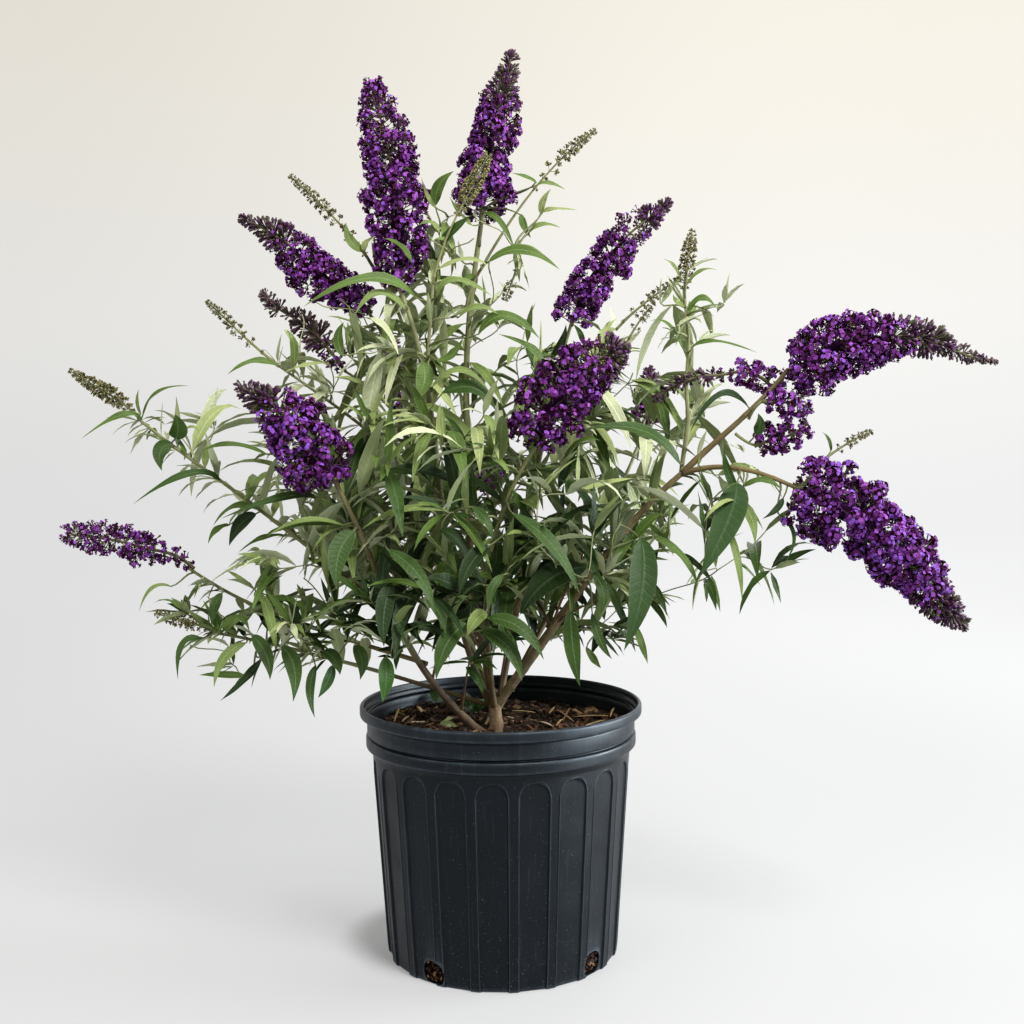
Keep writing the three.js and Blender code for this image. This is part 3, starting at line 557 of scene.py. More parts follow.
bark, stems = Heap(), Heap()
for i, (name, row) in enumerate(LIMBS.items()):
    woody = name in ("trunk", "bough_right", "stem_left")
    step = 1.3 if woody else 3.6
    p = along(row, step)
    u = np.linspace(0, 1, len(p))
    r = row[4] + (row[5] - row[4]) * u
    if name == "trunk":
        r = r + 3.2 * np.exp(-np.clip(p[:, 2] - 220, 0, None) / 6.0)
    if name == "stem_left":
        r = r + 1.6 * np.exp(-np.clip(p[:, 2] - 220, 0, None) / 9.0)
    if not woody and name.startswith(("stem", "bough")):
        # slight turns at the nodes, none at the two ends
        g = np.random.default_rng(200 + i)
        side = unit(np.cross(p[-1] - p[0], UP))
        wob = np.sin(np.linspace(0, np.pi, len(p))) * 1.6 * np.sin(u * g.uniform(9, 14) + g.uniform(0, 6))
        p = p + side * wob[:, None]
    mat = {"trunk": 0, "bough_right": 0, "stem_left": 1, "bough_right_upper": 2,
           "bough_right_lower": 2}.get(name, 3)
    if woody:
        r = r * (0.74 if name == "bough_right" else 1)
        relief = bark_relief(0.06 if name != "stem_left" else 0.04, 30, step, 31 + i, name == "trunk")
        if name == "stem_left":
            cut = int(len(p) * 0.36)
            tube(bark, p[:cut + 1], r[:cut + 1], 26, 1, relief)
            tube(bark, p[cut:], r[cut:], 18, 3, bark_relief(0.035, 34, step, 51))
        else:
            tube(bark, p, r, 34 if name == "trunk" else 26, 2 if name == "trunk" else 0, relief)
    else:
        low = mat if mat != 3 else (2 if name.startswith("stem") else 3)
        cutz = 3 if len(p) < 40 else int(len(p) * (0.4 if name == "stem_low_left" else 0.3 if "left" in name else 0.42))
        if low != mat:
            # the foot of a young stem is browner than its upper part
            tube(stems, p[:cutz + 1], r[:cutz + 1], 8, 2, bark_relief(0.03, 30, step, 60 + i))
            tube(stems, p[cutz:], r[cutz:], 8, 3, bark_relief(0.02, 30, step, 90 + i))
        else:
            tube(stems, p, r, 8, mat, bark_relief(0.03, 30, step, 60 + i))
    q = along(row, 4.0)
    skeleton(q, np.linspace(row[4], row[5], len(q)))

# ---------------------------------------------------------------- where flower heads stand in the frame
HEADS = []
for name, (row, *_rest) in PANICLES.items():
    c, rad = head_form(name, row, 8.0)
    HEADS.append((name, c, rad))
HEAD_C = np.concatenate([h[1] for h in HEADS if "back" not in h[0]])
HEAD_R = np.concatenate([h[2] for h in HEADS if "back" not in h[0]])
HEAD_PX = frame_px(HEAD_C)
ALL_C = np.concatenate([h[1] for h in HEADS])
ALL_R = np.concatenate([h[2] for h in HEADS])

MASS_C = np.array([m[0] for m in LEAF_MASSES.values()], float)
MASS_H = np.array([m[1] for m in LEAF_MASSES.values()], float)
MASS_T = np.radians([m[2] for m in LEAF_MASSES.values()])


def mass_depth(p):
    """The least scaled distance from each point to the leaf masses' middles: 1 on a surface."""
    d = p[:, None] - MASS_C[None]
    c, s = np.cos(MASS_T), np.sin(MASS_T)
    x = d[..., 0] * c + d[..., 2] * s
    z = -d[..., 0] * s + d[..., 2] * c
    q = np.sqrt((x / MASS_H[:, 0]) ** 2 + (d[..., 1] / MASS_H[:, 1]) ** 2 + (z / MASS_H[:, 2]) ** 2)
    return q.min(1)


# ---------------------------------------------------------------- leaf bearing shoots
twigs = Heap()
SHOOTS = []          # (path, spray tone, vigour)


def grow_to(target, tone, vigour, r0=1.25, r1=0.65, rise=0.55):
    P = np.concatenate(SK_P)
    D = np.concatenate(SK_D)
    R = np.concatenate(SK_R)
    v = target - P
    dist = np.linalg.norm(v, axis=1) + 1e-6
    vd = v / dist[:, None]
    cost = dist * (1 + 0.9 * np.clip(0.25 - vd[:, 2], 0, None) + 0.5 * np.clip(0.2 - (vd * D).sum(1), 0, None))
    k = int(np.argmin(cost))
    L = dist[k]
    if L < 14:
        return None
    p0, way = P[k], vd[k]
    out = target - np.array([-6, 6, 0])
    out[2] = 0
    out = unit(out) * min(1, np.linalg.norm(out) / 90)
    d0 = unit(D[k] * 0.55 + way * 0.7 + rng.normal(size=3) * 0.08)
    d1 = unit(way * 0.55 + out * 0.35 + UP * rise + rng.normal(size=3) * 0.14)
    row = [p0, p0 + d0 * L * 0.36, target - d1 * L * 0.36, target]
    p = along(row, 4.0)
    r = np.linspace(min(r0 + L * 0.004, R[k] * 0.85), r1, len(p))
    skeleton(p, r)
    q = along(row, 7.0)
    tube(twigs, q, np.linspace(r[0], r1, len(q)), 5, 0 if vigour > 0.5 else 1)
    SHOOTS.append((p, tone, vigour))
    return p


def spread_points(n, g, low=0.25):
    """Points in a unit ball, well apart, more of them near the outside."""
    pts = []
    for _ in range(n):
        c = g.normal(size=(24, 3))
        c = unit(c) * (low + (0.97 - low) * g.uniform(size=(24, 1)) ** 0.6)
        if pts:
            d = np.linalg.norm(c[:, None] - np.array(pts)[None], axis=2).min(1)
            pts.append(c[int(np.argmax(d))])
        else:
            pts.append(c[0])
    return np.array(pts)


wanted = []
for i, (name, (c, h, tilt, n, pale)) in enumerate(LEAF_MASSES.items()):
    g = np.random.default_rng(500 + i)
    if not n:
        continue
    n = int(round(n * (0.95 if "back" in name else 1.2)))
    a = math.radians(tilt)
    for q in spread_points(n, g):
        x, y, z = q * np.array(h)
        p = np.array([c[0] + x * math.cos(a) - z * math.sin(a), c[1] + y, c[2] + x * math.sin(a) + z * math.cos(a)])
        wanted.append((p, pale, name))
order = np.argsort([np.linalg.norm((p - [-6, 0, 300]) * [1, 1, 0.7]) for p, _, _ in wanted])
for k in order:
    p, pale, name = wanted[k]
    lift = 0.25 if "low" in name else 0.6
    grow_to(p, np.clip(pale + rng.normal() * 0.16, 0, 1), rng.uniform(0.35, 1.0), rise=lift)

# ---------------------------------------------------------------- leaves
LB, LD, LN, LL, LW, LG, LT, LTW = [], [], [], [], [], [], [], []


def leaf(base, way, face, length, width, droop, tone, twist=0.0):
    LB.append(base)
    LD.append(unit(way))
    LN.append(face)
    LL.append(length)
    LW.append(width)
    LG.append(droop)
    LT.append(tone)
    LTW.append(twist)


def pick_tone(pale, low, g=None):
    """A tone for one leaf of a spray: paler on young shoots, deeper low down."""
    x = pale * 4.2 + 0.6 - 1.8 * low + rng.normal() * 0.55
    return int(np.clip(round(x), 0, 5))


def node_leaves(p, axis, phi, size, tone, pale, low, splay, tuft):
    a = unit(np.cross(axis, [0.3, 0.9, 0.2]))
    b = np.cross(axis, a)
    for half in (0, np.pi):
        rad = a * math.cos(phi + half) + b * math.sin(phi + half)
        if rng.uniform() < 0.06:
            continue
        ang = math.radians(rng.normal(splay, 9))
        d = axis * math.cos(ang) + rad * math.sin(ang)
        d = unit(d * [1, 1, 0.8] + UP * 0.14)
        L = size * rng.uniform(0.78, 1.16)
        face = unit(axis * 0.25 + UP + rng.normal(size=3) * 0.2)
        leaf(p + rad * 1.0, d, face, L, L * rng.uniform(0.135, 0.19), rng.uniform(0.6, 1.8) * (L / 66) ** 0.7,
             tone if rng.uniform() < 0.8 else pick_tone(pale, low), rng.normal() * 0.35)
        if tuft > 0:
            for _ in range(int(rng.integers(1, 3))):
                q = unit(rad * 0.8 + axis * 0.75 + rng.normal(size=3) * 0.33)
                Ls = rng.uniform(18, 40)
                leaf(p + rad * 1.2 + q * 1.5, q, unit(axis * 0.5 + UP * 0.5 - rad * 0.3 + rng.normal(size=3) * 0.2), Ls,
                     Ls * rng.uniform(0.17, 0.23), rng.uniform(0.1, 0.7), min(5, tone + int(rng.uniform() < 0.6)))


def dress(p, pale, vigour, start=12.0, size=72.0, tip=True, splay=60, gap=(14, 22), tuft_share=0.25):
    t, _, _ = frames(p)
    s = np.concatenate([[0], np.cumsum(np.linalg.norm(np.diff(p, axis=0), axis=1))])
    at, phi = start * rng.uniform(0.8, 1.3), rng.uniform(0, 3.14)
    total = s[-1]
    low = np.clip((470 - p[len(p) // 2][2]) / 220, 0, 1)
    spray = pick_tone(pale, low)
    while at < total - 3:
        i = int(np.searchsorted(s, at))
        u = at / total
        here = p[min(i, len(p) - 1)]
        sz = size * (0.72 + 0.45 * math.sin(math.pi * min(1, u * 0.75 + 0.2))) * (0.8 + 0.3 * vigour)
        sz *= 1 - 0.4 * max(0, u - 0.65) / 0.35
        tuft = 1 if rng.uniform() < tuft_share else 0
        node_leaves(here, t[min(i, len(p) - 1)], phi, sz, spray, pale, low, splay, tuft)
        phi += math.pi / 2 + rng.normal() * 0.12
        at += rng.uniform(*gap) * (1 - 0.5 * u)
    if tip:
        end, ax = p[-1], t[-1]
        a = unit(np.cross(ax, [0.2, 0.9, 0.3]))
        b = np.cross(ax, a)
        n = int(rng.integers(3, 6))
        for k in range(n):
            f = phi + k * 2 * np.pi / n
            rad = a * math.cos(f) + b * math.sin(f)
            ang = math.radians(rng.uniform(14, 42))
            L = rng.uniform(26, 52) * (0.8 + 0.3 * vigour)
            leaf(end - ax * rng.uniform(0, 4), ax * math.cos(ang) + rad * math.sin(ang), unit(ax * 0.5 + UP * 0.5 - rad * 0.4),
                 L, L * rng.uniform(0.14, 0.2), rng.uniform(0.1, 0.8), min(5, spray + int(rng.uniform() < 0.45)))


for p, pale, vigour in SHOOTS:
    dress(p, pale, vigour)

# the named stems carry leaves too, from where the crown starts
STEM_LEAVES = {
    "bough_right": (0.55, 0.3), "bough_right_upper": (0.1, 0.45), "bough_right_lower": (0.1, 0.45),
    "bough_right_spire": (0.1, 0.75), "stem_left": (0.45, 0.45), "stem_low_left": (0.25, 0.5),
    "stem_left_outer": (0.25, 0.75), "stem_far_left": (0.25, 0.95), "stem_upper_left": (0.35, 0.6),
    "stem_centre_left": (0.35, 0.65), "stem_centre": (0.4, 0.65), "stem_centre_right": (0.3, 0.5),
    "stem_right_back": (0.4, 0.6), "stem_back_left": (0.4, 0.5), "stem_back_right": (0.4, 0.5),
    "shoot_left_bud": (0.1, 0.7), "shoot_left_faded": (0.1, 0.6), "shoot_centre_bud": (0.2, 0.8),
    "shoot_back_centre": (0.1, 0.5), "shoot_upper_left_bud": (0.2, 0.8),
}
for name, (start, pale) in STEM_LEAVES.items():
    p = along(LIMBS[name], 4.0)
    p = p[int(len(p) * start):]
    near = name in ("stem_low_left", "stem_left_outer", "stem_far_left", "shoot_left_bud")
    dress(p, pale, 0.6, start=5, size=62, tip=False, splay=62, gap=(14, 21) if near else (24, 34), tuft_share=0.5 if near else 0.7)


# small leaves at the foot of each flower head and of each budded shoot
for name, (row, *_rest) in PANICLES.items():
    p = bez(row, [0.0, 0.05, 0.12])
    ax = unit(p[1] - p[0])
    pale = 0.45 if "right_lower" in name or "left_middle" in name else 0.65
    for k in range(2):
        node_leaves(p[0] - ax * (3 + 9 * k), ax, rng.uniform(0, 3.14), 44 - 8 * k, pick_tone(pale, 0), pale, 0, 62, 1)
for name, row in BUD_SHOOTS.items():
    bare = row[9]
    p = bez(row, [0.0, 0.06, bare, max(0.1, bare * 0.55)])
    ax = unit(p[1] - p[0])
    size = 24 if name.startswith("small") else 38
    node_leaves(p[0], ax, rng.uniform(0, 3.14), size, 4, 0.8, 0, 55, 1)
    if bare > 0.3:
        node_leaves(p[3], ax, rng.uniform(0, 3.14), 34, 4, 0.8, 0, 50, 1)
    if bare > 0.05:
        node_leaves(p[2], ax, rng.uniform(0, 3.14), 20, 4, 0.85, 0, 50, 0)


def sweep(base, way, face, length, width, droop, tone, twist, rows, bends=None):
    """Rows of midrib points, with their tangents and sides, for many leaves at once."""
    n = len(base)
    p = base.copy()
    d = unit(way)
    side = unit(np.cross(d, face))
    bad = np.linalg.norm(np.cross(d, face), axis=1) < 0.12
    side[bad] = unit(np.cross(d[bad], [0.7, -0.6, 0.35]))
    out = np.zeros((n, rows + 1, 3))
    tan = np.zeros((n, rows + 1, 3))
    sd = np.zeros((n, rows + 1, 3))
    out[:, 0], tan[:, 0], sd[:, 0] = p, d, side
    h = (length / rows)[:, None]
    for j in range(1, rows + 1):
        flat = np.sqrt(np.clip(1 - d[:, 2] ** 2, 0, 1))[:, None]
        d = unit(d - UP * (droop[:, None] * (0.35 + 0.65 * flat) * (0.5 + j / rows) / rows))
        if bends is not None:
            d = unit(d + side * (bends[:, None] / rows))
        p = p + d * h
        side = unit(side - d * (side * d).sum(1, keepdims=True))
        c, s = np.cos(twist / rows)[:, None], np.sin(twist / rows)[:, None]
        side = side * c + np.cross(d, side) * s
        out[:, j], tan[:, j], sd[:, j] = p, d, side
    return out, tan, sd


def blade(out, tan, sd, width, fold, wave, phase, tone, under, heap, keep=None):
    """Two sheets with one outline, a top and a paler underside, a folded and slightly waved long leaf."""
    if keep is not None:
        out, tan, sd, width, fold, wave, phase, tone, under = (
            a[keep] for a in (out, tan, sd, width, fold, wave, phase, tone, under))
    n, rows = out.shape[0], out.shape[1] - 1
    if n == 0:
        return
    s = np.linspace(0, 1, rows + 1)
    prof = np.maximum(s, 1e-6) ** 0.70 * (1 - s) ** 1.16
    prof = prof / prof.max()
    prof[0] = 0.10
    nrm = np.cross(sd, tan)
    w = width[:, None] * 0.5 * prof[None]
    lift = w * np.tan(fold)[:, None]
    wv = wave[:, None] * np.sin(phase[:, None] + s[None] * 11.0) * np.minimum(w, 3.5)
    wv2 = wave[:, None] * np.sin(phase[:, None] + 2.1 + s[None] * 12.5) * np.minimum(w, 3.5)
    left = out - sd * (w * np.cos(fold)[:, None])[..., None] + nrm * (lift + wv)[..., None]
    right = out + sd * (w * np.cos(fold)[:, None])[..., None] + nrm * (lift + wv2)[..., None]
    mid_top = out
    mid_low = out - nrm * (0.16 + 0.05 * w)[..., None]
    top = np.stack([left[:, :rows], mid_top[:, :rows], right[:, :rows]], 2).reshape(n, rows * 3, 3)
    low = np.stack([left[:, :rows], mid_low[:, :rows], right[:, :rows]], 2).reshape(n, rows * 3, 3)
    tip = out[:, rows:rows + 1]
    v = np.concatenate([top, tip, low, tip], 1)
    uv1 = np.zeros((rows * 3 + 1, 2))
    for j in range(rows):
        uv1[j * 3:j * 3 + 3] = [[-1, s[j] * 13], [0, s[j] * 13], [1, s[j] * 13]]
    uv1[-1] = [0, 13]
    uv = np.tile(np.concatenate([uv1, uv1]), (n, 1))
    f = []
    for j in range(rows - 1):
        a, b = j * 3, j * 3 + 3
        f += [[a, a + 1, b + 1], [a, b + 1, b], [a + 1, a + 2, b + 2], [a + 1, b + 2, b + 1]]
    a, z = (rows - 1) * 3, rows * 3
    f += [[a, a + 1, z], [a + 1, a + 2, z]]
    f = np.array(f)
    m = rows * 3 + 1
    # the first three rows' winding faces along the blade's normal
    test = v[0]
    fn = np.cross(test[f[0][1]] - test[f[0][0]], test[f[0][2]] - test[f[0][0]])
    if fn @ nrm[0, 0] < 0:
        f = f[:, ::-1]
    both = np.concatenate([f, f[:, ::-1] + m])
    k = len(f)
    faces = both[None] + (np.arange(n) * 2 * m)[:, None, None]
    mats = np.concatenate([np.tile(tone[:, None], (1, k)), np.tile(under[:, None], (1, k))], 1)
    heap.add(v.reshape(-1, 3), faces.reshape(-1, 3), mats.reshape(-1), uv)


NT = len(LEAF_TONES)

# ---- the marked leaves, each on a stalk from the nearest limb or shoot
P_all, D_all = np.concatenate(SK_P), np.concatenate(SK_D)
PX_all = frame_px(P_all)
big_leaves = Heap()
MARK_PX = []
for (b, via, t, wpx, tone, yb) in MARKED:
    tone = tone - 1 if 2 <= tone <= 5 else tone
    L_px = math.hypot(t[0] - b[0], t[1] - b[1])
    pb = spot(*b, yb)
    lean = min(34, 0.32 * L_px)
    pt = spot(*t, yb - lean)
    pm = spot(*via, yb - lean * 0.62)
    n = 15
    u = np.linspace(0, 1, n)[:, None]
    ctrl = 2 * pm - 0.5 * (pb + pt)
    path = (1 - u) ** 2 * pb + 2 * u * (1 - u) * ctrl + u ** 2 * pt
    tan = unit(np.gradient(path, axis=0))
    eye = unit(CAM - path)
    face = unit(eye * 0.8 + UP * (0.75 if abs(tan[:, 2].mean()) < 0.7 else 0.2) + rng.normal(size=3) * 0.12)
    side = unit(np.cross(tan, face))
    shown = np.sqrt(np.clip(1 - (side * eye).sum(1) ** 2, 0.3, 1)).mean()
    px_mm = (np.linalg.norm(pb - CAM)) / FOCAL
    width = np.array([wpx * px_mm / max(shown, 0.75) * (0.92 if wpx > 14 else 0.84)])
    g = np.random.default_rng(int(b[0] * 7 + b[1]))
    blade(path[None], tan[None], side[None], width, np.array([g.uniform(0.12, 0.32)]), np.array([g.uniform(0.1, 0.3)]),
          np.array([g.uniform(0, 6)]), np.array([tone]), np.array([NT + (1 if tone in (4, 5) else 0 if tone in (2, 3, 6) else 2)]),
          big_leaves)
    # its stalk
    far = np.linalg.norm(PX_all - np.array(b), axis=1)
    d3 = np.linalg.norm(P_all - pb, axis=1)
    back = ((P_all - pb) * tan[0]).sum(1) / np.maximum(d3, 1)
    k = int(np.argmin(far * 1.0 + d3 * (1.2 + 0.7 * back)))
    q0 = P_all[k]
    gap = np.linalg.norm(pb - q0)
    if gap > 3:
        go = unit(pb - q0)
        row = [q0, q0 + unit(D_all[k] + go * 1.4) * gap * 0.3, pb - unit(tan[0] * 0.5 + go) * min(gap * 0.3, 16),
               pb + tan[0] * 1.5]
        q = along(row, 6.0)
        tube(twigs, q, np.linspace(min(1.3, 0.8 + gap * 0.01), 0.65, len(q)), 5, 1)
    fp = frame_px(path)
    MARK_PX.append((fp, np.linalg.norm(path - CAM, axis=1).mean(), wpx * 0.5))

# ---- gaps in the crown that stay open to the background, in the photograph's frame: middle and radius in px
OPEN = np.array([
    (721, 567, 13.4), (355, 266, 13), (669, 311, 13), (344, 252, 12.7), (771, 538, 12.5), (636, 369, 12),
    (355, 195, 11.7), (538, 243, 11.7), (721, 359, 11.7), (700, 288, 10.8), (721, 419, 10.6), (740, 526, 10.4),
    (257, 528, 10.3), (674, 362, 10.2), (541, 274, 10), (174, 640, 10), (650, 627, 10), (332, 241, 9.9),
    (270, 331, 9.9), (768, 345, 9.8), (481, 353, 9.8), (492, 230, 9.2), (653, 372, 9.2), (664, 584, 9.2),
    (623, 292, 9.1), (501, 344, 9), (259, 374, 9), (616, 311, 8.9), (470, 239, 8.5), (260, 322, 8.5),
    (247, 656, 8.5), (743, 431, 8.2), (226, 437, 8.2), (624, 466, 8.1), (671, 469, 8.1), (687, 496, 8.1),
    (286, 588, 8.1), (223, 505, 8), (498, 267, 7.6), (554, 279, 7.6), (706, 358, 7.6), (620, 396, 7.6),
    (246, 536, 7.6), (251, 575, 7.6), (572, 338, 7.3), (520, 194, 7.2), (237, 438, 7.2), (716, 477, 7.2),
    (760, 496, 7.2), (722, 550, 7.2), (320, 591, 7.2), (530, 210, 7.1), (734, 413, 7.1), (775, 417, 7.1),
    (684, 545, 7.1), (315, 573, 7.1), (609, 620, 7.1), (238, 663, 7.1), (290, 508, 7), (651, 418, 6.7),
    (707, 461, 6.7), (268, 547, 6.7), (291, 570, 6.7), (485, 281, 6.4), (452, 294, 6.4), (483, 299, 6.4),
    (646, 342, 6.4), (235, 477, 6.4), (488, 242, 6.3), (523, 307, 6.3), (744, 458, 6.3), (741, 540, 6.3),
    (666, 564, 6.3), (215, 654, 6.3), (505, 306, 6.1), (528, 374, 6.1), (199, 655, 6.1), (462, 267, 6),
    (513, 286, 6), (514, 305, 6), (546, 328, 6), (619, 331, 6), (530, 342, 6), (735, 353, 6), (256, 356, 6),
    (460, 357, 6), (635, 468, 6), (241, 592, 6), (542, 192, 5.8), (464, 320, 5.8), (496, 355, 5.8),
    (518, 447, 5.8), (662, 476, 5.8), (750, 495, 5.8), (541, 506, 5.8), (550, 511, 5.8), (300, 550, 5.8),
    (289, 553, 5.8), (356, 217, 5.7), (505, 243, 5.7), (767, 522, 5.7), (213, 563, 5.7), (684, 576, 5.7),
    (227, 603, 5.7), (225, 642, 5.7), (537, 293, 5.4), (554, 321, 5.4), (655, 331, 5.4), (520, 359, 5.4),
    (623, 442, 5.4), (368, 612, 5.4), (516, 227, 5.1), (370, 273, 5.1), (268, 382, 5.1), (187, 636, 5.1),
    (444, 201, 5), (346, 207, 5), (436, 217, 5), (475, 226, 5), (518, 235, 5), (530, 265, 5), (444, 271, 5),
    (509, 277, 5), (449, 324, 5), (492, 335, 5), (522, 336, 5), (259, 338, 5), (271, 372, 5), (621, 373, 5),
    (482, 416, 5), (642, 416, 5), (682, 418, 5), (476, 421, 5), (615, 441, 5), (247, 442, 5), (691, 455, 5),
    (651, 460, 5), (772, 461, 5), (593, 473, 5), (557, 485, 5), (602, 497, 5), (577, 500, 5), (234, 502, 5),
    (681, 521, 5), (694, 535, 5), (692, 551, 5), (655, 574, 5), (308, 581, 5), (344, 588, 5), (319, 601, 5),
    (652, 614, 5), (585, 617, 5), (254, 627, 5), (262, 628, 5), (472, 251, 4.5), (491, 288, 4.5),
    (633, 299, 4.5), (274, 318, 4.5), (514, 333, 4.5), (293, 346, 4.5), (302, 347, 4.5), (519, 375, 4.5),
    (658, 424, 4.5), (223, 491, 4.5), (312, 506, 4.5), (274, 515, 4.5), (675, 534, 4.5), (591, 536, 4.5),
    (293, 579, 4.5), (232, 590, 4.5), (589, 595, 4.5), (232, 613, 4.5),
], float)

LB, LD, LN = np.array(LB), np.array(LD), np.array(LN)
LL, LW, LG, LTW = map(np.array, (LL, LW, LG, LTW))
LT = np.array(LT)
STEM_PX = []
for name, (lo_u, hi_u, half) in {
        "bough_right": (0.25, 1, 6), "bough_right_upper": (0, 1, 5), "bough_right_lower": (0, 1, 5), "bough_right_spire": (0, 1, 5),
        "stem_centre_left": (0.35, 1, 6), "stem_centre": (0.55, 1, 6), "stem_centre_right": (0.3, 1, 5),
        "stem_left_outer": (0.3, 1, 4), "stem_far_left": (0.3, 1, 5), "stem_low_left": (0.3, 1, 4), "trunk": (0, 1, 16),
        "stem_left": (0.0, 0.35, 9), "stem_right_back": (0.8, 1, 4), "shoot_left_bud": (0.4, 1, 3)}.items():
    c = along(LIMBS[name], 8.0)
    c = c[int(len(c) * lo_u):max(int(len(c) * hi_u), 2)]
    STEM_PX.append((frame_px(c), np.linalg.norm(c - CAM, axis=1), half))
HEAD_DEP = np.linalg.norm(HEAD_C - CAM, axis=1)


def fits(B, D, N, L, W, G, T, TW, bend, dice):
    """Which leaves stay inside the crown, leave its gaps open and hide no flower head, stem or marked leaf."""
    c, _, _ = sweep(B, D, N, L, W, G, T, TW, 4, bend)
    tips, mids = c[:, 4], c[:, 2]
    ok = mass_depth(tips) < np.where(tips[:, 2] < 330, 1.3, 1.42)
    ok &= mass_depth(mids) < 1.34
    for k, pts in enumerate((c[:, 1], mids, c[:, 3], tips)):
        px = frame_px(pts)
        dep = np.linalg.norm(pts - CAM, axis=1)
        # the pot and what stands over it stay clear
        rr = np.hypot(pts[:, 0], pts[:, 1])
        ok &= ~((pts[:, 2] < 258) & (rr < 150))
        ok &= ~((px[:, 1] > 664 + 10 * dice[:, 0]) & (px[:, 0] > 372) & (px[:, 0] < 640) & (pts[:, 2] < 300))
        lo, hi = np.array([-452, -204, 205]), np.array([495, 372, 915])
        ok &= ((pts > lo) & (pts < hi)).all(1)
        gap = np.hypot(px[:, None, 0] - OPEN[None, :, 0], px[:, None, 1] - OPEN[None, :, 1]) - OPEN[None, :, 2]
        ok &= ~((gap.min(1) < (1.8, 3.9, 3.4, 0.9)[k]) & (dice[:, 1] < 0.97))
        far = np.linalg.norm(px[:, None] - HEAD_PX[None], axis=2)
        hit = ((far < HEAD_R[None] * 0.98) & (dep[:, None] < HEAD_DEP[None] + 6)).any(1)
        ok &= ~(hit & (dice[:, 2] < 0.95))
        ok &= ~(np.linalg.norm(pts[:, None] - ALL_C[None], axis=2) < ALL_R[None] * 0.8).any(1)
        for sp, sdep, half in STEM_PX:
            near = np.linalg.norm(px[:, None] - sp[None], axis=2)
            q = near.argmin(1)
            ok &= ~((near.min(1) < half) & (dep < sdep[q] - 4) & (dice[:, 3] < 0.8))
        for fp, fd, half in MARK_PX:
            near = np.linalg.norm(px[:, None] - fp[None, 1:-1:2], axis=2).min(1) < half + 3
            ok &= ~(near & (dep < fd + 4) & (dice[:, 4] < 0.94))
    return ok


# a leaf that doesn't fit turns another way, then is a little shorter, and at last is left out
dice = rng.uniform(size=(len(LB), 5))
bend = rng.normal(size=len(LB)) * 0.16
keep = fits(LB, LD, LN, LL, LW, LG, LT, LTW, bend, dice)
first = keep.sum()
for attempt in range(7):
    k = np.nonzero(~keep)[0]
    way = unit(LD[k] + rng.normal(size=(len(k), 3)) * (0.3 + 0.07 * attempt))
    cutd = 0.95 ** attempt
    good = fits(LB[k], way, LN[k], LL[k] * cutd, LW[k], LG[k], LT[k], LTW[k], bend[k], dice[k])
    LD[k[good]] = way[good]
    LL[k[good]] *= cutd
    LW[k[good]] *= cutd ** 0.5
    keep[k[good]] = True
coarse, coarse_t, coarse_s = sweep(LB, LD, LN, LL, LW, LG, LT, LTW, 4, bend)
mids = coarse[:, 2]
print("leaves", first, keep.sum(), "of", len(keep), "shoots", len(SHOOTS))

# painted shade and light: leaves deep inside the crown's masses take deeper tones, and those at its outside paler ones
deep = mass_depth(mids) + rng.normal(size=len(LB)) * 0.08
shift = np.where(deep < 0.55, -1.5, np.where(deep < 0.8, -0.6, np.where(deep > 1.02, 0.75, 0.15)))
shift += rng.normal(size=len(LB)) * 0.35
# painted light: a leaf that faces the camera takes a deeper tone, as painted shade, and one seen along its edge a paler
# tone, as a painted sheen
flat = np.abs((unit(np.cross(coarse_t[:, 2], coarse_s[:, 2])) * unit(CAM - mids)).sum(1))
shift += np.where(flat > 0.8, -1.1, np.where(flat > 0.55, -0.5, 0.45))
LT = np.where(LT <= 5, np.clip(np.round(LT + shift), 0, 5), LT).astype(int)

small_leaves = Heap()
fold = rng.uniform(0.12, 0.46, len(LB))
wave = rng.uniform(0.05, 0.28, len(LB))
phase = rng.uniform(0, 6.28, len(LB))
under = NT + np.where(LT >= 4, 1, np.where(LT <= 1, 2, 0))
under = np.where(rng.uniform(size=len(LB)) < 0.2, NT + 1, under)
long = LL > 34
for heap, pick, rows in ((big_leaves, keep & long, 6), (small_leaves, keep & ~long, 4)):
    o, tn, sd = sweep(LB[pick], LD[pick], LN[pick], LL[pick], LW[pick], LG[pick], LT[pick], LTW[pick], rows, bend[pick])
    blade(o, tn, sd, LW[pick], fold[pick], wave[pick], phase[pick], LT[pick], under[pick], heap)

# ---------------------------------------------------------------- flower heads
def floret_shape():
    """A narrow tube and a rounded four-lobed limb, opening along +Z; the limb's middle is at the origin."""
    v, f, m = [], [], []
    for z, r in ((-9.0, 0.55), (-0.9, 0.85)):
        for i in range(3):
            a = i * math.pi / 1.5
            v.append([r * math.cos(a), r * math.sin(a), z])
    for i in range(3):
        j = (i + 1) % 3
        f += [[i, j, 3 + j], [i, 3 + j, 3 + i]]
        m += [1, 1]
    c = len(v)
    v.append([0, 0, -0.3])
    ring = []
    for i in range(4):
        a = i * math.pi / 2
        for da, r, z in ((-0.40, 2.72, -0.55), (0.40, 2.72, -0.4)):
            ring.append(len(v))
            v.append([r * math.cos(a + da), r * math.sin(a + da), z])
        ring.append(len(v))
        v.append([1.75 * math.cos(a + math.pi / 4), 1.75 * math.sin(a + math.pi / 4), -0.15])
    n = len(ring)
    for i in range(n):
        f.append([c, ring[i], ring[(i + 1) % n]])
        m.append(0)
    return np.array(v, float), np.array(f), np.array(m)


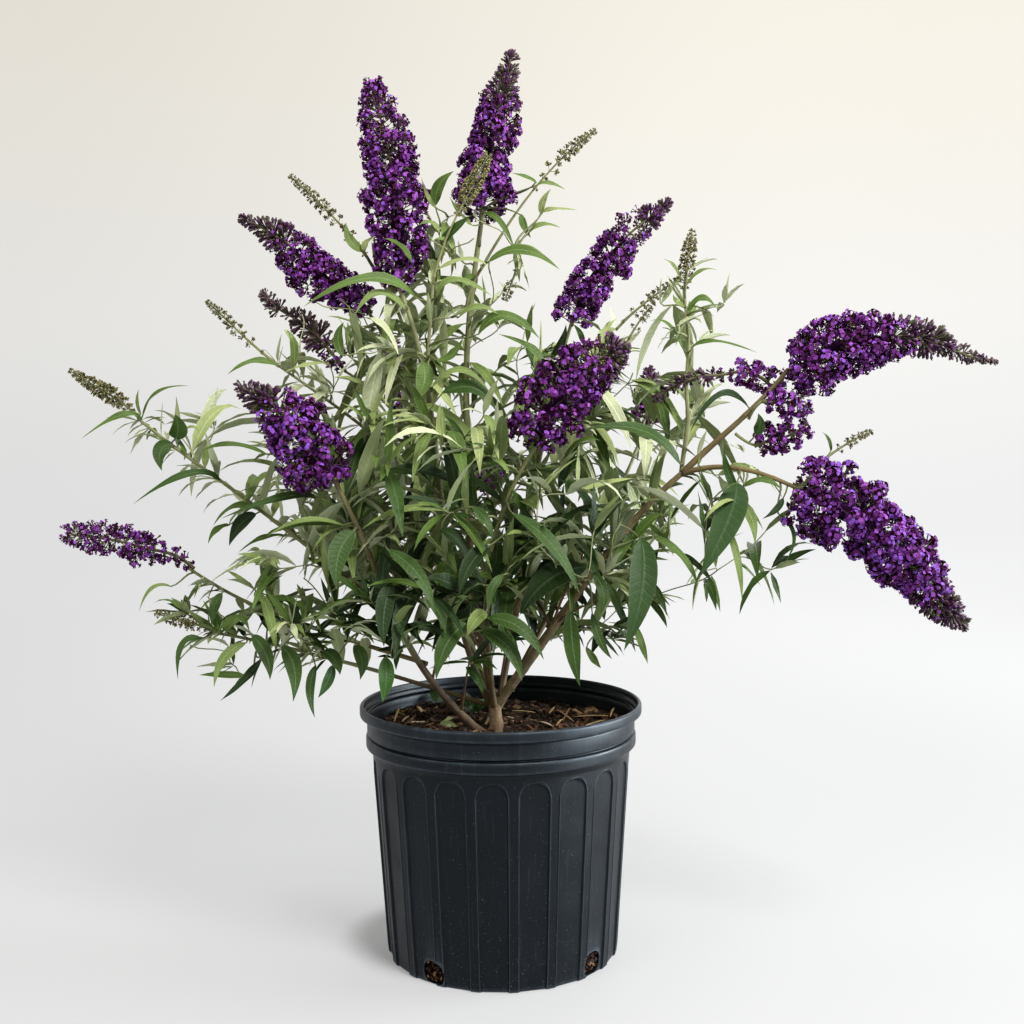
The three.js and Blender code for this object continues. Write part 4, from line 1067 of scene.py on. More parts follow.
def bud_shape(sides=4):
    """A closed bud, swollen near its end, along +Z with its foot at the origin; one unit long."""
    v, f = [], []
    prof = ((0.0, 0.08), (0.55, 0.10), (0.84, 0.19))
    for z, r in prof:
        for i in range(sides):
            a = i * 2 * math.pi / sides
            v.append([r * math.cos(a), r * math.sin(a), z])
    v.append([0, 0, 1.0])
    for k in range(2):
        for i in range(sides):
            j = (i + 1) % sides
            a, b = k * sides, (k + 1) * sides
            f += [[a + i, a + j, b + j], [a + i, b + j, b + i]]
    for i in range(sides):
        f.append([2 * sides + i, 2 * sides + (i + 1) % sides, 3 * sides])
    return np.array(v, float), np.array(f)


def turns(d, g):
    """Matrices that take +Z to each direction, with a random spin."""
    d = unit(d)
    ref = np.where(np.abs(d[:, 2:3]) < 0.9, np.array([[0, 0, 1.0]]), np.array([[1.0, 0, 0]]))
    x = unit(np.cross(ref, d))
    y = np.cross(d, x)
    s = g.uniform(0, 2 * np.pi, len(d))[:, None]
    x2 = x * np.cos(s) + y * np.sin(s)
    y2 = np.cross(d, x2)
    return np.stack([x2, y2, d], 2)


FL_V, FL_F, FL_M = floret_shape()
BD_V, BD_F = bud_shape()
BS_V, BS_F = bud_shape(3)
florets = {"left": Heap(), "centre": Heap(), "right": Heap()}
stalks = Heap()
HEAD_NODES = {"left": [], "centre": [], "right": []}


def thin(heap, a, b, r, mat):
    """Many three-sided straight stalks at once."""
    d = unit(b - a)
    g = np.random.default_rng(len(a))
    m = turns(d, g)
    L = np.linalg.norm(b - a, axis=1)
    k = np.arange(3) * 2 * np.pi / 3
    v = np.array([[math.cos(t), math.sin(t), z] for z in (0, 1) for t in k])
    f = np.array([[0, 1, 4], [0, 4, 3], [1, 2, 5], [1, 5, 4], [2, 0, 3], [2, 3, 5]])
    size = np.stack([np.full(len(a), r), np.full(len(a), r), L], 1)
    heap.copies(v, f, mat, a, m, size)


def head(name, row, opened, full, spent, side, seed):
    g = np.random.default_rng(seed)
    p, reach_of = head_form(name, row)
    length = len(p) - 1
    t, a, b = frames(p)
    bare = row[9]

    def radius(u):
        return np.interp(u, np.linspace(0, 1, len(reach_of)), reach_of)

    tube(stalks, p[::5], np.linspace(1.8, 1.0, len(p[::5])), 6, 0)
    ku = np.linspace(bare + 0.015, 0.97, max(8, int(length / 5)))
    kp = p[np.clip((ku * length).astype(int), 0, length)]
    kr = radius(ku) * 0.17 * np.clip(np.minimum((ku - bare) * 5, (1 - ku) * 6), 0.2, 1)
    kr = kr * np.clip((opened + 0.16 - ku) / 0.2, 0.35, 1) * (1 - 0.85 * np.clip((ku - 0.4) / 0.25, 0, 1))

    def lumps(rr, ang_, p_):
        return rr * (1 + 0.42 * g.uniform(-1, 1, rr.shape))

    # a lumpy core along the head's axis in dark purple: painted shade, standing in for the shadowed depth inside the
    # head
    if radius(ku).max() > 24:
        tube(stalks, kp, kr, 9, 5, lumps)
    blue = 0.65 if name in ("panicle_right_lower", "panicle_left_middle") else 0.25
    whole = 0.2 if name in ("panicle_top_left", "panicle_right_lower") else 1.0
    fp, fd, fs, fm = [], [], [], []
    bp, bd, bs, bm = [], [], [], []
    sa, sb = [], []
    at, phi = bare * length + 4.0, g.uniform(0, 3)
    while at < length - 1.0:
        u = at / length
        i = int(at)
        R = float(radius(u))
        pos, ax = p[i], t[i]
        open_here = 1 / (1 + math.exp(np.clip((u - opened) / 0.035, -30, 30))) if opened < 1 else 1.0
        thin_top = 1 - 0.5 * np.clip((u - 0.45) / 0.45, 0, 1) * min(1, spent * 4 + 0.25)
        # opposite clusters, and between them two smaller ones
        arms = [(phi, 1.0), (phi + np.pi, 1.0), (phi + np.pi / 2, 0.72), (phi - np.pi / 2, 0.72)]
        for f0, part in arms:
            if g.uniform() < (0.2 if part < 1 else 0.04) * whole:
                continue
            toward = float((a[i] * math.cos(f0) + b[i] * math.sin(f0)) @ unit(CAM - pos))
            if length > 90 and toward > 0.45 and g.uniform() < 0.4 * np.clip((u - 0.6) / 0.2, 0, 1):
                continue
            f0 = f0 + g.normal() * 0.14
            reach = R * np.clip(1 + g.normal() * 0.08, 0.8, 1.12) * (1.0 if part == 1 else 0.93)
            if R > 13:
                parts = ((0.0, 0.2, 1.0), (0.54, -0.1, 0.9), (-0.54, -0.1, 0.9)) if part == 1 else ((0.27, 0.1, 0.9), (-0.27, -0.12, 0.88))
            else:
                parts = ((0.0, 0.0, 1.0),)
            for turn_, lift_, scale_ in parts:
                f1 = f0 + turn_ + g.normal() * 0.08
                rad = a[i] * math.cos(f1) + b[i] * math.sin(f1)
                tilt = math.radians(g.uniform(10, 30) + 26 * max(0, u - 0.75) / 0.25) + lift_
                c = unit(rad * math.cos(tilt) + ax * math.sin(tilt))
                ball = float(np.clip(0.31 * reach * scale_, 2.6, 8.8)) * g.uniform(0.85, 1.12)
                node = pos + c * (reach * (0.5 + 0.5 * scale_) * g.uniform(0.9, 1.05) - ball)
                lit = g.uniform(-0.22, 0.22)
                sa.append(pos)
                sb.append(node)
                if open_here <= 0.05:
                    continue
                n = max(2, int(full * open_here * thin_top * (3.0 + 17.5 * (ball / 8.0) ** 1.8) * g.uniform(0.85, 1.15)))
                fan = unit(c * 0.55 + unit(g.normal(size=(n, 3))) * 0.95)
                end = node + fan * ball * g.uniform(0.84, 1.08, size=(n, 1))
                out = unit(fan + g.normal(size=(n, 3)) * 0.22)
                size = g.uniform(0.64, 0.88, n) * (1.0 if thin_top > 0.8 else 0.86) * min(1.0, 0.76 + R / 60)
                fp.append(end)
                fd.append(out)
                fs.append(size)
                tone_ = g.choice(3, n, p=[0.36 + lit, 0.38, 0.26 - lit])
                fm.append(np.where((tone_ == 0) & (g.uniform(size=n) < blue), 4, tone_))
                some = slice(0, max(1, n // 3))
                sa.extend([node] * len(end[some]))
                sb.extend((end - out * (8.4 * size)[:, None])[some])
            Rc, ball = reach, reach * 0.5
            node = pos + c * (reach - ball)
            # closed, dry and half-open ones
            share = (1 - open_here) * 1.0 + 0.10 + spent * 0.5
            m = int(round(share * part * (2.5 + (6.0 if u > opened else 9.0) * (R / 22)) * g.uniform(0.8, 1.2)))
            if m > 0:
                closed = u > opened
                fan = unit(c * (0.9 if closed else 0.7) + unit(g.normal(size=(m, 3))) * (0.62 if closed else 0.9) + ax * 0.25)
                if closed:
                    foot_at = pos + fan * (R * 0.10 + 0.4)
                    L = np.clip(R * g.uniform(0.66, 1.0, m), 3.0, 14.0)
                    foot_at = foot_at + fan * np.clip(R * 0.9 - L, 0, None)[:, None] * 0.8
                else:
                    foot_at = node + fan * ball * g.uniform(0.1, 0.35, size=(m, 1))
                    L = np.clip(ball * g.uniform(0.5, 0.8, m), 2.6, 9.0)
                bp.append(foot_at)
                bd.append(fan)
                bs.append(L)
                if closed:
                    some = g.uniform(size=m) < 0.75 - 2.4 * (u - opened)
                    tips_at = foot_at[some] + fan[some] * L[some, None]
                    fp.append(tips_at)
                    fd.append(fan[some])
                    fs.append(g.uniform(0.42, 0.62, some.sum()))
                    fm.append(g.choice([1, 2], some.sum()))
                    bm.append(g.choice([1, 2, 4], m, p=[0.3, 0.42, 0.28] if spent > 0.5 else [0.56, 0.16, 0.28]))
                else:
                    bm.append(np.where(g.uniform(size=m) < 0.2 + spent * 0.7, 3, g.choice([1, 4], m)))
                sa.extend([pos if closed else node] * m)
                sb.extend(foot_at)
        phi += np.pi / 2 * g.uniform(0.85, 1.15)
        at += (10.5 - 5.6 * np.clip((u - 0.45) / 0.5, 0, 1)) * g.uniform(0.86, 1.14) * (0.6 + 0.4 * min(1, R / 18))
    heap = florets[side]
    if fp:
        fp, fd, fs, fm = map(np.concatenate, (fp, fd, fs, fm))
        k = turns(fd, g)
        tone = fm
        mats = np.tile(FL_M, (len(fp), 1))
        mats = np.where(mats == 0, tone[:, None], 3)
        pts = FL_V[None] * fs[:, None, None]
        pts = np.einsum("kij,knj->kni", k, pts) + fp[:, None]
        heap.add(pts.reshape(-1, 3), (FL_F[None] + (np.arange(len(fp)) * len(FL_V))[:, None, None]).reshape(-1, 3),
                 mats.reshape(-1))
    if bp:
        bp, bd, bs, bm = map(np.concatenate, (bp, bd, bs, bm))
        wide = g.uniform(0.85, 1.2, len(bs)) * np.clip(6.0 / bs, 0.62, 1.6)
        size = np.stack([bs * wide, bs * wide, bs], 1)
        stalks.copies(BD_V, BD_F, 0, bp, turns(bd, g), size, mat_of=bm)
    thin(stalks, np.array(sa), np.array(sb), 0.42, 0)
    HEAD_NODES[side].append(name)
    return len(fp)


total = 0
for i, (name, (row, opened, full, spent)) in enumerate(PANICLES.items()):
    side = "left" if row[3][0] < -20 else "centre" if row[3][0] < 200 else "right"
    total += head(name, row, opened, full, spent, side, 700 + i)
print("florets", total)

# ---------------------------------------------------------------- shoots that end in closed buds
buds = Heap()


def bud_spike(name, row, seed):
    dense = name in ("bud_spike_centre", "bud_spike_far_left", "bud_spike_low_left", "bud_spike_right")
    g = np.random.default_rng(seed)
    p = along(row, 1.0)
    length = len(p) - 1
    t, a, b = frames(p)
    foot, widest, where, tip_r, fall, bare = row[4:10]
    tube(buds, p[::4], np.linspace(1.5, 0.6, len(p[::4])), 6, 0)
    at, phi = bare * length + 2, g.uniform(0, 3)
    P, D, S, M, sa, sb = [], [], [], [], [], []
    while at < length:
        u = (at / length - bare) / (1 - bare)
        R = foot + (widest - foot) * math.sin(np.pi / 2 * min(1, u / where)) if u < where else \
            tip_r + (widest - tip_r) * math.cos(np.pi / 2 * (u - where) / (1 - where)) ** fall
        i = int(at)
        full = dense or u > 0.45
        for k in range(4 if full else 2):
            f0 = phi + k * np.pi * (0.5 if full else 1) + g.normal() * 0.15
            rad = a[i] * math.cos(f0) + b[i] * math.sin(f0)
            c = unit(rad * 0.85 + t[i] * 0.62)
            ball = max(2.2, R * 0.42)
            node = p[i] + c * (R - ball)
            n = int(6 + R * 0.8)
            fan = unit(c * 0.7 + unit(g.normal(size=(n, 3))))
            start = node + fan * ball * g.uniform(0.1, 0.5, size=(n, 1))
            P.append(start)
            D.append(unit(fan + c * 0.4))
            S.append(np.clip(ball * g.uniform(0.55, 0.85, n), 1.5, 3.4))
            M.append(g.choice([1, 2, 3], n, p=[0.3, 0.66, 0.04] if name == "bud_spike_centre" else [0.45, 0.3, 0.25]))
            sa.append(p[i])
            sb.append(node)
            sa.extend([node] * 2)
            sb.extend(start[:2])
        phi += np.pi / 2
        at += ((6.0 - 2.2 * u) if dense else (12.5 - 8.6 * min(1, max(0, u) * 1.25))) * g.uniform(0.85, 1.15)
    P, D, S, M = map(np.concatenate, (P, D, S, M))
    size = np.stack([S * 2.0, S * 2.0, S], 1)
    buds.copies(BS_V, BS_F, 0, P, turns(D, g), size, mat_of=M)
    thin(buds, np.array(sa), np.array(sb), 0.36, 0)
    return p


for i, (name, row) in enumerate(BUD_SHOOTS.items()):
    p = bud_spike(name, row, 900 + i)
    if name.startswith("small"):
        # its stalk from the nearest limb or shoot
        P_all, D_all = np.concatenate(SK_P), np.concatenate(SK_D)
        v = p[0] - P_all
        d = np.linalg.norm(v, axis=1)
        k = int(np.argmin(d + 1.2 * np.clip(-v[:, 2], 0, None)))
        if d[k] > 3:
            row2 = [P_all[k], P_all[k] + D_all[k] * d[k] * 0.3, p[0] - unit(p[6] - p[0]) * d[k] * 0.3, p[0] + unit(p[6] - p[0])]
            q = along(row2, 6.0)
            tube(twigs, q, np.linspace(1.3, 0.9, len(q)), 5, 0)

# ---------------------------------------------------------------- pot
POT_H, BASE_R, BODY_R, BODY_Z = 250.0, 114.6, 127.9, 204.0
FLUTES, FLUTE_TOP, FLUTE_SHARE, FLUTE_DEPTH, FLUTE_START = 20, 199.5, 0.75, 2.2, -4.1
HOLE_DEG, HOLE_W, HOLE_LOW, HOLE_TOP = (-35.0, 48.0, 139.0, 229.0), 25.5, 0.9, 23.2


def round_from_front(deg, r, z):
    a = np.radians(deg)
    return np.stack(np.broadcast_arrays(r * np.sin(a), -r * np.cos(a), z), -1)


def pot_piece():
    edge = FLUTE_SHARE
    shares = np.array([-1, -.88, -.81, -.79, -.775, -.76, -.745, -.73, -.715, -.7, -.665, -.62, -.56, -.48, -.38, -.2,
                       0, .2, .38, .48, .56, .62, .665, .7, .715, .73, .745, .76, .775, .79, .81, .88])
    half = 180 / FLUTES
    deg = (np.arange(FLUTES)[:, None] * 2 * half + shares[None] * half).ravel() + FLUTE_START
    loc = np.tile(np.radians(shares * half), FLUTES)
    body_z = np.concatenate([[2.6, 5, 12, 26, 60, 100, 140, 168, 179, 182.5], np.arange(184.5, 201.2, 0.8),
                             [201.4, 202.4, 203.3]])
    outside = [(0, 0), (60, 0), (BASE_R - 9, 0), (BASE_R - 2.8, 0), (BASE_R - 1.3, 0.45), (BASE_R - 0.35, 1.3)]
    outside += [(BASE_R + (BODY_R - BASE_R) * z / BODY_Z, z) for z in body_z]
    n_body = len(outside)
    outside += [(128.4, 205.0), (128.8, 206.4), (129.4, 207.5), (130.6, 208.4), (132.2, 208.9), (133.2, 209.3), (133.8, 209.9),
                (134.05, 210.8), (134.1, 212.0), (134.1, 216.5), (134.1, 218.5), (133.95, 219.4), (133.5, 220.1),
                (132.5, 220.7), (131.2, 221.2), (130.9, 221.8), (131.3, 222.4), (132.4, 222.8), (132.8, 223.3),
                (132.95, 224.0), (133.0, 230.0), (133.1, 236.0), (132.9, 237.3), (132.3, 238.2), (132.2, 239.0),
                (133.4, 239.4), (137.4, 239.6), (138.9, 239.9), (139.7, 240.5), (139.95, 241.3), (140.0, 243.0),
                (140.0, 247.0), (139.85, 248.3), (139.4, 249.2), (138.7, 249.75), (137.9, 249.95)]
    inside = [(137.0, 249.9), (136.4, 249.4), (136.1, 248.2), (135.9, 245.5), (135.6, 243.9), (134.9, 243.2),
              (134.2, 242.4), (134.0, 239.6), (133.7, 238.2), (132.6, 237.2), (131.9, 236.0), (131.6, 232.0),
              (130.8, 227.0), (129.8, 222.5), (129.6, 212.0), (127.6, 207.0), (124.8, 203.0), (121, 150), (117, 90),
              (113.5, 36), (111.6, 4.5), (110.2, 2.9), (60, 2.8), (0, 2.8)]
    rows = outside + inside
    V = []
    n = len(deg)
    for k, (r, z) in enumerate(rows):
        if r == 0:
            continue
        rr = np.full(n, float(r))
        if 2 <= k < n_body:
            R = BASE_R + (BODY_R - BASE_R) * z / BODY_Z
            w = math.pi * R * FLUTE_SHARE / FLUTES
            x = loc * R
            zc = FLUTE_TOP - w
            d = w - np.hypot(x, max(0.0, z - zc))
            s = np.clip(d / 0.95, 0, 1)
            s = s * s * (3 - 2 * s)
            panel = (r - FLUTE_DEPTH) / np.cos(loc)
            # a thin welt runs round each flute
            rr = r + (panel - r) * s + 0.5 * np.exp(-((d + 0.35) / 0.42) ** 2) * min(1.0, z / 12) * (1 - 0.6 * min(1.0, max(0.0, z - zc) / 4))
        V.append(round_from_front(deg, rr, np.full(n, float(z))))
    v = np.concatenate(V)
    m = len(V)
    j = np.arange(n)
    jn = (j + 1) % n
    f = []
    for k in range(m - 1):
        a, b = k * n, (k + 1) * n
        f.append(np.stack([a + j, a + jn, b + jn], 1))
        f.append(np.stack([a + j, b + jn, b + j], 1))
    c0, c1 = len(v), len(v) + 1
    v = np.concatenate([v, [[0, 0, 0], [0, 0, 2.8]]])
    f.append(np.stack([jn, j, np.full(n, c0)], 1))
    f.append(np.stack([(m - 1) * n + j, (m - 1) * n + jn, np.full(n, c1)], 1))
    h = Heap()
    h.add(v, np.concatenate(f), 0)
    return h


def hole_cutters():
    """Four rounded plugs, as one object, that are taken out of the pot's wall at its foot."""
    h = Heap()
    w = HOLE_W / 2
    mid, tall = (HOLE_LOW + HOLE_TOP) * 0.5, (HOLE_TOP - HOLE_LOW) * 0.5
    out = []
    for t in np.linspace(0, 2 * math.pi, 33)[:-1]:
        x, z = math.cos(t), math.sin(t)
        k = 0.82 if z > 0 else 0.72
        out.append((w * math.copysign(abs(x) ** k, x), mid + tall * math.copysign(abs(z) ** k, z)))
    n = len(out)
    for deg in HOLE_DEG:
        a = math.radians(deg)
        rad = np.array([math.sin(a), -math.cos(a), 0])
        side = np.array([math.cos(a), math.sin(a), 0])
        v = np.array([rad * r + side * x + UP * z for r in (104.5, 130.0) for x, z in out])
        f = []
        for k in range(n):
            q = (k + 1) % n
            f += [[k, q, n + q], [k, n + q, n + k]]
        for k in range(1, n - 1):
            f += [[0, k + 1, k], [n, n + k, n + k + 1]]
        f = np.array(f)
        # the plug's faces point out of it
        mid_p = v.mean(0)
        c = v[f]
        out_ = np.einsum("ij,ij->i", np.cross(c[:, 1] - c[:, 0], c[:, 2] - c[:, 0]), c.mean(1) - mid_p)
        f[out_ < 0] = f[out_ < 0][:, ::-1]
        h.add(v, f, 0)
    return h


def value_noise(x, y, cell, seed):
    g = np.random.default_rng(seed)
    grid = g.normal(size=(200, 200))
    u, w = x / cell + 90, y / cell + 90
    i, j = np.floor(u).astype(int), np.floor(w).astype(int)
    a, b = u - i, w - j
    a, b = a * a * (3 - 2 * a), b * b * (3 - 2 * b)
    i, j = i % 199, j % 199
    return (grid[i, j] * (1 - a) * (1 - b) + grid[i + 1, j] * a * (1 - b) + grid[i, j + 1] * (1 - a) * b
            + grid[i + 1, j + 1] * a * b)


def soil_height(x, y):
    r = np.hypot(x, y)
    z = 224 + 2.2 * (np.sin(x / 17 + 0.6) * np.cos(y / 14 - 0.3) + 0.6 * np.sin((x + 2 * y) / 23)) - 2.5 * (1 - r / 129.5)
    return z


soil = Heap()
n_a, n_r = 200, 66
ang = np.arange(n_a) * 2 * np.pi / n_a
rings = np.linspace(0.0, 130.2, n_r + 1)[1:]
X, Y = rings[:, None] * np.cos(ang)[None], rings[:, None] * np.sin(ang)[None]
fine = 0.9 * value_noise(X, Y, 7.5, 1) + 0.75 * value_noise(X, Y, 3.4, 2) + 0.35 * value_noise(X, Y, 1.9, 3)
Z = soil_height(X, Y) + np.clip(fine, -2.4, 2.6) - 0.4
top = np.stack([X, Y, Z], -1)
# the ball's side, against the pot's wall, and its floor; it shows in the holes
side_z = np.concatenate([[210, 203, 150, 90, 45], np.linspace(31, 3.4, 16)])
wall_r = np.interp(side_z, [3.0, 204, 212, 224], [111.0, 124.2, 130.0, 131.0])
low = []
for k, (z, r) in enumerate(zip(side_z, wall_r)):
    g = np.random.default_rng(77 + k)
    lump = np.abs(g.normal(size=n_a)) * (2.2 if z < 32 else 0.6)
    low.append(np.stack([(r - 0.4 - lump) * np.cos(ang), (r - 0.4 - lump) * np.sin(ang), np.full(n_a, z)], -1))
v = np.concatenate([top.reshape(-1, 3), np.array(low).reshape(-1, 3), [[0, 0, soil_height(0.0, 0.0)], [0, 0, 3.4]]])
m = n_r + len(side_z)
j = np.arange(n_a)
jn = (j + 1) % n_a
f = []
for k in range(m - 1):
    a, b = k * n_a, (k + 1) * n_a
    f.append(np.stack([a + j, b + jn, a + jn], 1))
    f.append(np.stack([a + j, b + j, b + jn], 1))
f.append(np.stack([np.full(n_a, m * n_a), j, jn], 1))
f.append(np.stack([np.full(n_a, m * n_a + 1), (m - 1) * n_a + jn, (m - 1) * n_a + j], 1))
f = np.concatenate(f)
# the ball's side low down, seen through the holes, takes the last soil material: near-black painted shade, with brown
# specks of the mix
soil.add(v, f, np.where((f.min(1) >= n_r * n_a) & (v[f][:, :, 2].max(1) < 60), 6, 0))

g = np.random.default_rng(321)
CHIP = np.array([[x, y, z] for z in (-1, 1) for x, y in ((-1, -1), (1, -1), (1, 1), (-1, 1))], float) * 0.5
CHIP_F = np.array([[0, 2, 1], [0, 3, 2], [4, 5, 6], [4, 6, 7], [0, 1, 5], [0, 5, 4], [1, 2, 6], [1, 6, 5], [2, 3, 7], [2, 7, 6],
                   [3, 0, 4], [3, 4, 7]])


def chips(n, lo, hi, thin_lo, thin_hi, mats, weights, seed, aspect=(0.35, 0.8), steep=0.35, lift=0.6):
    g = np.random.default_rng(seed)
    r = 128 * np.sqrt(g.uniform(size=n))
    a = g.uniform(0, 2 * np.pi, n)
    x, y = r * np.cos(a), r * np.sin(a)
    L = lo + (hi - lo) * g.uniform(size=n) ** 1.8
    size = np.stack([L, L * g.uniform(*aspect, n), g.uniform(thin_lo, thin_hi, n)], 1)
    reach = r + L * 0.5
    keep = reach < 129.5
    z = soil_height(x, y) + lift * g.uniform(0.3, 1.6, n) + size[:, 2] * 0.3
    d = unit(np.stack([g.normal(size=n) * steep, g.normal(size=n) * steep, np.ones(n)], 1))
    t = turns(d, g)
    warp = CHIP[None] * (1 + g.normal(size=(n, 8, 3)) * 0.16)
    warp[:, :4, 0] *= g.uniform(0.6, 1.1, n)[:, None]
    pts = warp * size[:, None]
    pts = np.einsum("kij,knj->kni", t, pts) + np.stack([x, y, z], 1)[:, None]
    mat = g.choice(mats, n, p=weights)
    pts, mat = pts[keep], mat[keep]
    k = len(pts)
    soil.add(pts.reshape(-1, 3), (CHIP_F[None] + (np.arange(k) * 8)[:, None, None]).reshape(-1, 3), np.repeat(mat, 12))


chips(1700, 1.4, 3.6, 0.8, 2.2, [0, 1, 2], [0.5, 0.35, 0.15], 11, aspect=(0.6, 1.0), steep=0.8)
chips(820, 4, 13, 1.2, 3.4, [0, 1, 2, 3], [0.22, 0.42, 0.28, 0.08], 12, steep=0.5)
chips(60, 9, 24, 0.7, 1.8, [2, 3, 4, 5], [0.35, 0.35, 0.22, 0.08], 13, aspect=(0.1, 0.26), steep=0.3, lift=1.4)
chips(4, 18, 36, 0.5, 1.0, [4, 5], [0.5, 0.5], 14, aspect=(0.04, 0.08), steep=0.16, lift=2.2)


# crumbs of bark and roots that show in the holes at the foot
g = np.random.default_rng(515)
k = 4 * 44
a = np.radians(np.repeat(HOLE_DEG, 44) + g.uniform(-6.5, 6.5, k))
z = g.uniform(3.5, 22.5, k)
r = np.interp(z, [3.0, 204], [111.0, 124.2]) - g.uniform(0.3, 2.2, k)
size = np.stack([g.uniform(1.0, 4.2, k), g.uniform(0.8, 2.2, k), g.uniform(0.6, 1.6, k)], 1)
pts = CHIP[None] * (1 + g.normal(size=(k, 8, 3)) * 0.2) * size[:, None]
pts = np.einsum("kij,knj->kni", turns(unit(g.normal(size=(k, 3))), g), pts) + np.stack([r * np.sin(a), -r * np.cos(a), z], 1)[:, None]
soil.add(pts.reshape(-1, 3), (CHIP_F[None] + (np.arange(k) * 8)[:, None, None]).reshape(-1, 3),
         np.repeat(g.choice([0, 1, 2, 3], k, p=[0.5, 0.3, 0.14, 0.06]), 12))


def on_soil(u, v, up=1.5):
    """Where the frame's line through (u, v) meets the growing mix."""
    z = 226.0
    for _ in range(3):
        d = FWD * FOCAL + R2 * (u - 512) - U2 * (v - 512)
        t = (z - CAM[2]) / d[2]
        p = CAM + d * t
        z = float(soil_height(p[0], p[1])) + up
    return p


# straws and strips of wood that the photograph shows by themselves
for (u0, v0), (u1, v1), w, mat, h0, h1 in (
        ((574, 717), (608, 716), 3.0, 4, 3, 3), ((557, 710), (574, 722), 2.6, 3, 7, 2), ((563, 721), (570, 708), 2.0, 3, 2, 7),
        ((556, 726), (563, 719), 2.0, 4, 2, 4), ((549, 714), (555, 707), 2.6, 4, 2, 5), ((610, 717), (614, 708), 2.0, 4, 3, 9),
        ((394, 722), (399, 709), 2.0, 4, 2, 9), ((402, 722), (409, 716), 2.6, 4, 2, 5), ((512, 711), (536, 713), 3.0, 4, 3, 4),
        ((503, 717), (515, 719), 1.6, 5, 3, 3), ((540, 722), (552, 726), 2.4, 5, 2, 3), ((583, 727), (606, 720), 2.2, 4, 2, 4),
        ((418, 705), (438, 701), 3.0, 2, 3, 4), ((548, 699), (573, 696), 7.0, 2, 4, 5), ((484, 727), (492, 715), 2.6, 4, 2, 7)):
    a, b = on_soil(u0, v0, h0), on_soil(u1, v1, h1)
    p = a + (b - a) * np.linspace(0, 1, 5)[:, None] + UP * (np.sin(np.linspace(0, np.pi, 5)) * 0.8)[:, None]
    s = unit(np.cross(b - a, UP)) * w * 0.5
    n = UP * 0.35
    ring = np.stack([p - s * 0.9, p + s, p + s + n * 2, p - s * 0.9 + n * 2], 1)
    ring[0] = ring[0].mean(0) + (ring[0] - ring[0].mean(0)) * 0.4
    ring[-1] = ring[-1].mean(0) + (ring[-1] - ring[-1].mean(0)) * 0.3
    f = []
    for k in range(4):
        for q in range(4):
            w0, w1 = k * 4 + q, k * 4 + (q + 1) % 4
            f += [[w0, w1, w1 + 4], [w0, w1 + 4, w0 + 4]]
    f += [[0, 2, 1], [0, 3, 2], [16, 17, 18], [16, 18, 19]]
    soil.add(ring.reshape(-1, 3), np.array(f), mat)

# ---------------------------------------------------------------- leaves on the growing mix and at the stems' feet
for b, via, t, wpx, tone, h0, h1 in (
        ((440, 724), (448, 722), (458, 727), 7, 4, 5, 4), ((458, 726), (452, 725), (444, 727), 5, 5, 3, 3),
        ((470, 711), (480, 705), (488, 697), 13, 7, 4, 14), ((470, 710), (461, 707), (454, 712), 8, 7, 5, 8),
        ((472, 709), (469, 700), (466, 692), 9, 7, 8, 20), ((443, 701), (436, 694), (430, 690), 15, 6, 8, 16),
        ((508, 694), (512, 690), (515, 692), 6, 6, 10, 14), ((455, 716), (447, 719), (441, 724), 4, 4, 6, 4)):
    a, c, m_ = on_soil(b[0], b[1], h0), on_soil(t[0], t[1], h1), on_soil(via[0], via[1], (h0 + h1) * 0.5 + 3)
    u = np.linspace(0, 1, 9)[:, None]
    path = (1 - u) ** 2 * a + 2 * u * (1 - u) * m_ + u ** 2 * c
    tan = unit(np.gradient(path, axis=0))
    side = unit(np.cross(tan, unit(UP + (CAM - a) / 1600)))
    blade(path[None], tan[None], side[None], np.array([wpx * 1.15]), np.array([0.15]), np.array([0.15]), np.array([1.0]),
          np.array([tone]), np.array([NT]), small_leaves)

# ---------------------------------------------------------------- dry old twigs low inside the crown
g = np.random.default_rng(88)
for k in range(34):
    z0 = g.uniform(246, 330)
    a0 = g.uniform(0, 2 * np.pi)
    foot = np.array([-8 + 6 * math.cos(a0), -6 + 6 * math.sin(a0), z0])
    i = int(np.argmin(np.linalg.norm(np.concatenate(SK_P[:16]) - foot - g.normal(size=3) * [40, 30, 20], axis=1)))
    foot = np.concatenate(SK_P[:16])[i]
    L = g.uniform(50, 130)
    d = unit(np.array([math.cos(a0), math.sin(a0), g.uniform(0.5, 1.8)]))
    end = foot + d * L
    if mass_depth(end[None])[0] > 1.0:
        continue
    row = [foot, foot + unit(d + UP * 0.4) * L * 0.35, end - unit(d + g.normal(size=3) * 0.3) * L * 0.3, end]
    q = along(row, 7.0)
    tube(twigs, q, np.linspace(1.5, 0.6, len(q)), 5, 2)

